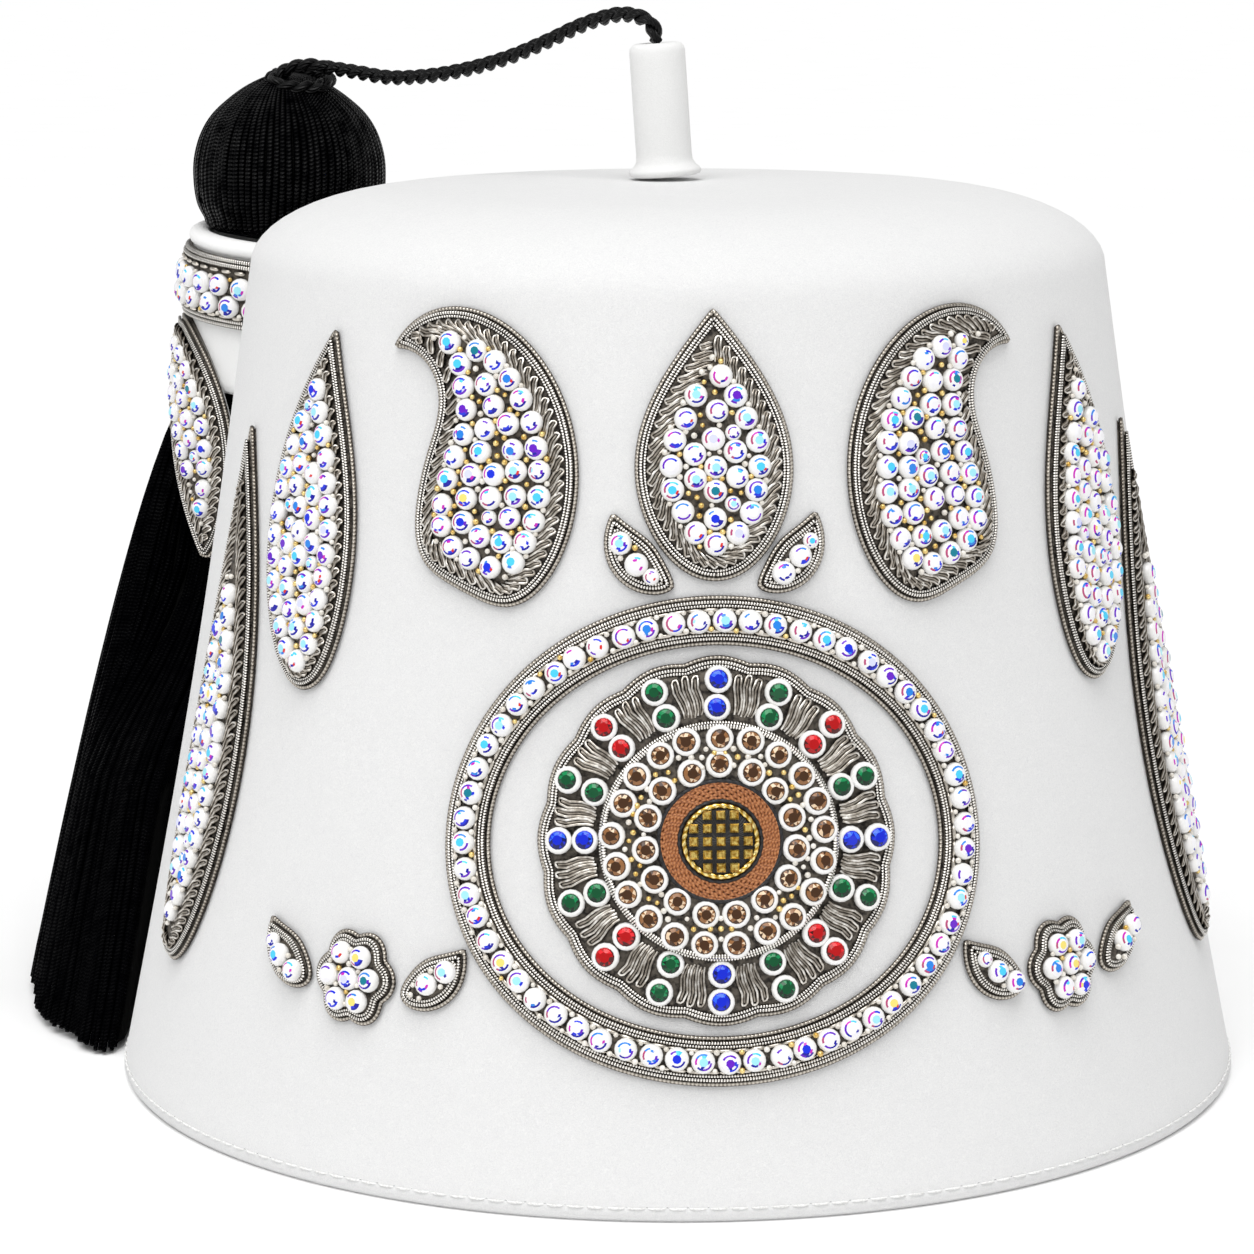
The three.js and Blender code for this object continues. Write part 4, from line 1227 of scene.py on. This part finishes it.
def sewn_rosette():
    """The medallion: a lattice boss, rings of floss and amber stones, then coloured stones between rays."""
    patch = WallPatch(SEWN_AZIMUTH, RING["height"])
    radius, rays = ROSETTE["radius"], ROSETTE["rays"]
    loop = round_loop(patch, radius, rays, ROSETTE["scallop"], 320)
    made = [bed_between(patch, [loop], loop, np.zeros_like(loop), closed=True, both=False)]
    made += edging_cords(patch, [loop])

    top = BED_HEIGHT + ROSETTE["ring_rise"]
    wide = ROSETTE["ring_radius"]
    rise = [(1, 1.2), (1, top - 0.5), (0.98, top - 0.1), (0.94, top), (0.01, top + 0.05)]
    made.append(disc_on(patch, wide, rise, "backing"))
    made.append(circle_on(patch, wide - 0.1, BED_HEIGHT + 0.45, 0.45, "edging"))
    made.append(circle_on(patch, wide - 0.45, top + 0.1, 0.42, "edging"))

    cycle = ["sapphire", "emerald", "ruby", "emerald"]
    for reach in COLOUR_ROWS:
        made.append(set_stones(patch, on_circle(reach, rays), STONE_OUT, [cycle[k % 4] for k in range(rays)]))
    for shift, first, last in ((-0.15, 18.5, 24.2), (0, 18.3, 24.4), (0.15, 18.5, 24.2)):
        starts, ends = on_circle(last, rays, 0.5 + shift * 1.1), on_circle(first, rays, 0.5 + shift * 0.9)
        made.append(lay_strokes(patch, starts, ends))

    amber = [on_circle(row["radius"], row["count"]) for row in AMBER_ROWS]
    for spots in amber:
        made.append(set_stones(patch, spots, top - 0.25, ["amber"] * len(spots)))
    inner_loop = on_circle(wide - 0.9, 200)[::-1]
    hole = on_circle(8.9, 120)
    made += seed_beads(patch, [inner_loop, hole], np.vstack(amber), 2.2, top + 0.35)

    for ring in np.arange(6.3, 8.6, 0.44):
        made.append(circle_on(patch, ring, top + 0.25, 0.3, "brown", wave=0.13))
    made.append(circle_on(patch, 5.85, top + 0.35, 0.34, "black"))
    made.append(circle_on(patch, 8.75, top + 0.3, 0.34, "black"))
    made += lattice_boss(patch, top)
    sew_on("rosette", made)


def make_sewn_work():
    sides = [("left", -1), ("right", 1)]
    for leaf in LEAVES:
        for side, sign in [("", 1)] if leaf["offset"] == 0 else sides:
            name = f"{leaf['name']}_{side}" if side else leaf["name"]
            sewn_leaf(name, leaf, SEWN_AZIMUTH + sign * leaf["offset"], leaf["foot"], sign < 0)
    sewn_ring()
    sewn_rosette()
    foot = FLOWER["height"] - LEAFLET["drop"]
    step = math.degrees(LEAFLET["reach"] / wall_radius(foot))
    for side, sign in sides:
        azimuth = SEWN_AZIMUTH + sign * FLOWER["offset"]
        sewn_flower(side, azimuth)
        for twin, way in (("a", -1), ("b", 1)):
            sewn_leaf(f"leaflet_{side}_{twin}", LEAFLET, azimuth + way * step, foot, way < 0)


make_sewn_work()


# Tassel

def make_ball():
    """The ball: a core wound from pole to pole with fine twisted cord."""
    strands, middle = WINDING["strands"], np.append(TASSEL_MIDDLE, TASSEL["ball_height"])
    profile = smooth_line(BALL, 6)
    core = profile - unit(np.stack([np.maximum(profile[:, 0], 0.01), profile[:, 1] * 0.9], 1)) * 0.8
    core = np.vstack([(0.01, core[0, 1]), core, (0.01, core[-1, 1])]) + [0, TASSEL["ball_height"]]
    share = np.linspace(0, 1, len(profile))
    sway = np.array([[chance.uniform(-1, 1)] for _ in range(strands)]) * WINDING["sway"]
    angle = (turns_round(strands)[:, None] + WINDING["twist"] * np.sin(np.pi * share)
             + sway * np.sin(3 * np.pi * share))
    thick = np.clip(profile[:, 0] * WINDING["by_radius"], WINDING["thinnest"], WINDING["thickest"])
    loose = np.array([[chance.uniform(-1, 1)] for _ in range(strands)]) * WINDING["loose"]
    reach = np.maximum(profile[:, 0] - thick + loose, 0.2)
    height = np.broadcast_to(profile[:, 1] - thick * profile[:, 1] / 17, angle.shape)
    paths = np.dstack([on_unit_circle(angle) * reach[..., None], height])
    strand_cords = cords(paths + middle, thick, 6, unit(paths), "ball_cord")
    return [lathe(core[::-1], 48, "core", TASSEL_MIDDLE), strand_cords]


def make_knot():
    """The cord's knot: it arches over the ball's top and goes once round it."""
    return two_ply(smooth_line(KNOT_ROUTE, 8), CORD_DIAMETER * 0.94, CORD_TURN * 0.92, (0.2, -1, 0.3))


def skirt_ridge(turn):
    """How far out a place on a lock of the skirt stands, half above none."""
    return np.abs(np.cos(turn * TASSEL["locks"] / 2)) - 0.5


def skirt_foot(turn):
    """Where the skirt stands on the floor, at a turn round the tassel's middle."""
    sin, cos = np.sin(turn), np.cos(turn)
    reach = TASSEL["fan_out"] + TASSEL["fan_reach"] * (1 - np.abs(sin) ** TASSEL["fan_power"])
    outside = smoothstep(cos, -0.25, 0.25)
    radius = lerp(TASSEL["fan_in"], reach + TASSEL["flute"] * skirt_ridge(turn), outside)
    angle = math.atan2(TASSEL["y"], TASSEL["x"]) + np.radians(TASSEL["fan_angle"]) * sin
    rise = TASSEL["foot"] + TASSEL["lift"] * outside * np.maximum(cos, 0) * (0.7 - 0.6 * skirt_ridge(turn))
    return np.stack([radius * np.cos(angle), radius * np.sin(angle), rise], -1)


def skirt_point(turn, share, depth):
    """A point of the skirt, from the cuff down to the foot; depth is how far inside its surface."""
    outward = math.atan2(TASSEL["y"], TASSEL["x"]) + turn
    radius = TASSEL["skirt_radius"] + 0.5 * skirt_ridge(turn) - depth
    top = leaned(np.stack([TASSEL["x"] + radius * np.cos(outward), TASSEL["y"] + radius * np.sin(outward),
                           np.full_like(radius, TASSEL["skirt_top"])], -1))
    foot = skirt_foot(turn)
    pressed = 0.95 * smoothstep(np.sin(turn), 0.6, 0.82) * (1 - smoothstep(share, 0.27, 0.65))
    lag = lerp(0.5, 1.3, smoothstep(np.sin(turn), 0, 0.6))
    return np.stack([
        lerp(top[..., 0], foot[..., 0], share**0.65 * (1 - pressed)),
        lerp(top[..., 1], foot[..., 1], share**lag * (1 - pressed)),
        lerp(top[..., 2], foot[..., 2], share),
    ], -1)


def skirt_turns(count):
    """Turns at which cords stand evenly apart along the skirt's foot."""
    turn = np.linspace(0, 2 * math.pi, 1200)
    reach = lengths_along(skirt_foot(turn))
    return np.interp(np.arange(count) / count * reach[-1], reach, turn)


def skirt_core():
    """The dark inside of the skirt, which closes the view between its cords."""
    turn, share = np.meshgrid(np.linspace(0, 2 * math.pi, 90, endpoint=False), np.linspace(0, 0.99, 16))
    rows = skirt_point(turn, share, 1.6)
    middle = rows.mean(1, keepdims=True)[..., :2]
    rows[..., :2] = middle + (rows[..., :2] - middle) * 0.955
    return sheet_over(rows, "core", wrap_columns=True)


def skirt_cords():
    """Hundreds of fine twisted cords in layers, which fan out, wander a little and end blunt."""
    count, thick = FRINGE["cords"], FRINGE["thick"]
    steps = np.linspace(0, 1, 20)
    wander = np.array([[chance.uniform(-1, 1) for _ in range(3)] for _ in range(count)])
    drift = (0.012 * wander[:, :1] * np.sin(2.2 * np.pi * steps + wander[:, 1:2] * 3)
             + 0.006 * wander[:, 2:] * np.sin(6 * np.pi * steps))
    turn = skirt_turns(count)[:, None] + drift * np.clip(steps * 4, 0, 1)
    layer = np.broadcast_to((np.arange(count) % FRINGE["layers"])[:, None], turn.shape)
    paths = skirt_point(turn, np.broadcast_to(steps, turn.shape), layer * FRINGE["layer_depth"])
    out = paths[..., :2] - lerp(TASSEL_MIDDLE, paths.mean(0)[:, :2], steps[:, None])
    outward = np.dstack([unit(out), np.zeros(turn.shape)])
    inner = (np.arange(count) % 2)[:, None] * 0.45 + wander[:, 1:2] * 0.18
    paths = paths - outward * (inner * steps + thick * 0.6)[..., None]
    trim = np.array([chance.uniform(0, 1.6) for _ in range(count)])
    paths[:, -1, 2] += trim * 0.5 + thick * 0.2
    radius = np.full(len(steps), thick)
    radius[-1] = thick * 0.72
    return cords(paths, radius, 6, outward, "cord")


make_piece("tassel_ball", [*make_ball(), make_knot()], ["tassel"])
make_piece("tassel_skirt", [skirt_core(), skirt_cords()], ())


# Cuff, its band and its flap

def make_cuff():
    """A thick felt tube with a rolled rim round the tassel's neck."""
    radius, rim, roll = CUFF["radius"], CUFF["rim"], CUFF["roll"]
    inner = radius - CUFF["wall"]
    angle = np.linspace(-0.95, math.pi - 0.1, 20)
    curl = np.stack([radius - 1.1 + 1.95 * np.cos(angle), rim - 1.2 + roll * 0.68 * np.sin(angle)], 1)
    foot = CUFF["bottom"]
    profile = np.vstack([
        [(inner, foot + 0.5), (inner + 0.5, foot), (radius - 0.6, foot), (radius, foot + 0.6)],
        [(radius, z) for z in np.linspace(foot + 2, rim - roll - 0.5, 14)], curl,
        [(inner - 0.9, rim - roll)],
    ])
    tube = lathe(profile, 96, "cuff_felt", TASSEL_MIDDLE)
    tube.points = leaned(tube.points)
    make_piece("cuff_felt", [tube], ["cuff"])


def level_line(along, height):
    return np.stack([along, np.full_like(along, height)], 1)


def sewn_band():
    """The band: two rows of clear stones between corded edges, right round the cuff."""
    patch = CuffPatch()
    round_cuff = 2 * math.pi * CUFF["radius"]
    low, high = CUFF["band_bottom"], CUFF["band_top"]
    along = np.linspace(0, round_cuff, 160, endpoint=False)
    section = [(low, 0.2), (low, 0.9), (low + 0.6, 1.1), ((low + high) / 2, 1.2), (high - 0.6, 1.1),
               (high, 0.9), (high, 0.2)]
    heights, out = [np.broadcast_to(column, (len(along), len(section))) for column in np.array(section).T]
    xy = np.dstack([np.broadcast_to(along[:, None], heights.shape), heights])
    made = [sheet_over(raised(patch, xy, out), "backing", wrap_rows=True)]
    edges = [(low + 0.35, 1.0, 0.44), (low + 1.15, 1.3, 0.38), (high - 0.35, 1.0, 0.46),
             (high - 1.15, 1.35, 0.42)]
    for height, lift, thick in edges:
        made.append(cord_on(patch, level_line(along, height), lift, thick, 8, "edging"))

    count = int(round_cuff / STONE_PITCH / BAND_STONE)
    pitch = round_cuff / count
    below, above = np.arange(count) * pitch, (np.arange(count) + 0.5) * pitch
    lower, upper = low + 3.7, low + 7.2
    spots = np.vstack([level_line(below, lower), level_line(above, upper)])
    made.append(set_stones(patch, spots, 1.2, scales=BAND_STONE))
    beads = np.vstack([level_line(below, upper + 1.4), level_line(above, lower - 1.4)])
    made.append(beads_at(patch, beads, 1.6, 0.2))

    dashes = int(round_cuff / 2.5)
    for height in (high - 2.2, low + 1.9):
        start = level_line(np.arange(dashes) * round_cuff / dashes, height)
        made.append(lay_dashes(patch, start, start + [2.1, 0.0], 1.4, 0.4))
    sew_on("cuff_band", made)


def sewn_flap():
    """The leaf-shaped flap under the band, set close with stones."""
    patch = FlapPatch()
    down = np.linspace(1, 0, 60)
    half = FLAP["half"] * np.sin(np.pi * lerp(0.01, 0.98, down) ** 0.6) ** 0.7
    radius = FLAP["radius"] + FLAP["spread"] * down
    middle = np.radians(FLAP["twist"] * (1 - (1 - down) ** 1.6)) * radius
    right = np.stack([middle + half, -down * FLAP["drop"]], 1)
    left = np.stack([middle - half, -down * FLAP["drop"]], 1)
    loops = [spaced(np.vstack([right, left[::-1]]), 0.5, closed=True)]
    back = sheet_over(patch.surface(np.stack([left, right], 1)), "cuff_felt")
    sew_on("cuff_flap", [back, *leaf_work(patch, loops, right, left, FLAP_MARGIN, 1.35, 1.9)])


make_cuff()
sewn_band()
sewn_flap()


# Floor and light

def make_floor():
    mesh = bpy.data.meshes.new("floor")
    reach = 14.0
    corners = [(-reach, -reach, 0), (reach, -reach, 0), (reach, reach, 0), (-reach, reach, 0)]
    mesh.from_pydata(corners, [], [(0, 1, 2, 3)])
    paper = grained("white_paper", "#fdfdfd", "#fbfbfb", 40.0, Roughness=0.9, Specular_IOR_Level=0.1)
    mesh.materials.append(paper)
    floor = bpy.data.objects.new("floor", mesh)
    bpy.context.scene.collection.objects.link(floor)


def make_sun(name, heading, height, angle, strength):
    """A soft light that falls evenly over the whole floor, from a heading and a height in degrees."""
    lamp = bpy.data.lights.new(name, "SUN")
    lamp.angle = math.radians(angle)
    lamp.energy = strength
    holder = bpy.data.objects.new(name, lamp)
    holder.rotation_euler = (math.radians(90 - height), 0, math.radians(heading))
    bpy.context.scene.collection.objects.link(holder)


def make_softbox(name, place, aim_height, size, power):
    """A flat light that is aimed at the crown's axis."""
    lamp = bpy.data.lights.new(name, "AREA")
    lamp.shape = "RECTANGLE"
    lamp.size, lamp.size_y = size
    lamp.energy = power
    holder = bpy.data.objects.new(name, lamp)
    holder.location = place
    holder.rotation_euler = (Vector((0, 0, aim_height)) - Vector(place)).to_track_quat("-Z", "Y").to_euler()
    bpy.context.scene.collection.objects.link(holder)


def light_scene():
    """Plain soft studio light: a broad one from the front, three softboxes and a white surround."""
    make_sun("front_sun", -8, 69, 50, 1.85)
    make_softbox("softbox_top", (-0.18, -0.5, 0.62), 0.13, (0.7, 0.4), 0.78)
    make_softbox("softbox_left", (-0.8, -1.3, 0.9), 0.08, (0.35, 0.9), 0.46)
    make_softbox("softbox_right", (1.2, -0.9, 0.5), 0.08, (0.3, 0.9), 0.25)
    world = bpy.data.worlds.new("studio")
    world.use_nodes = True
    sky = world.node_tree.nodes["Background"].inputs
    sky["Color"].default_value = colour("#ffffff")
    sky["Strength"].default_value = 0.5
    bpy.context.scene.world = world
    bpy.context.scene.view_settings.view_transform = "Standard"


make_floor()
light_scene()
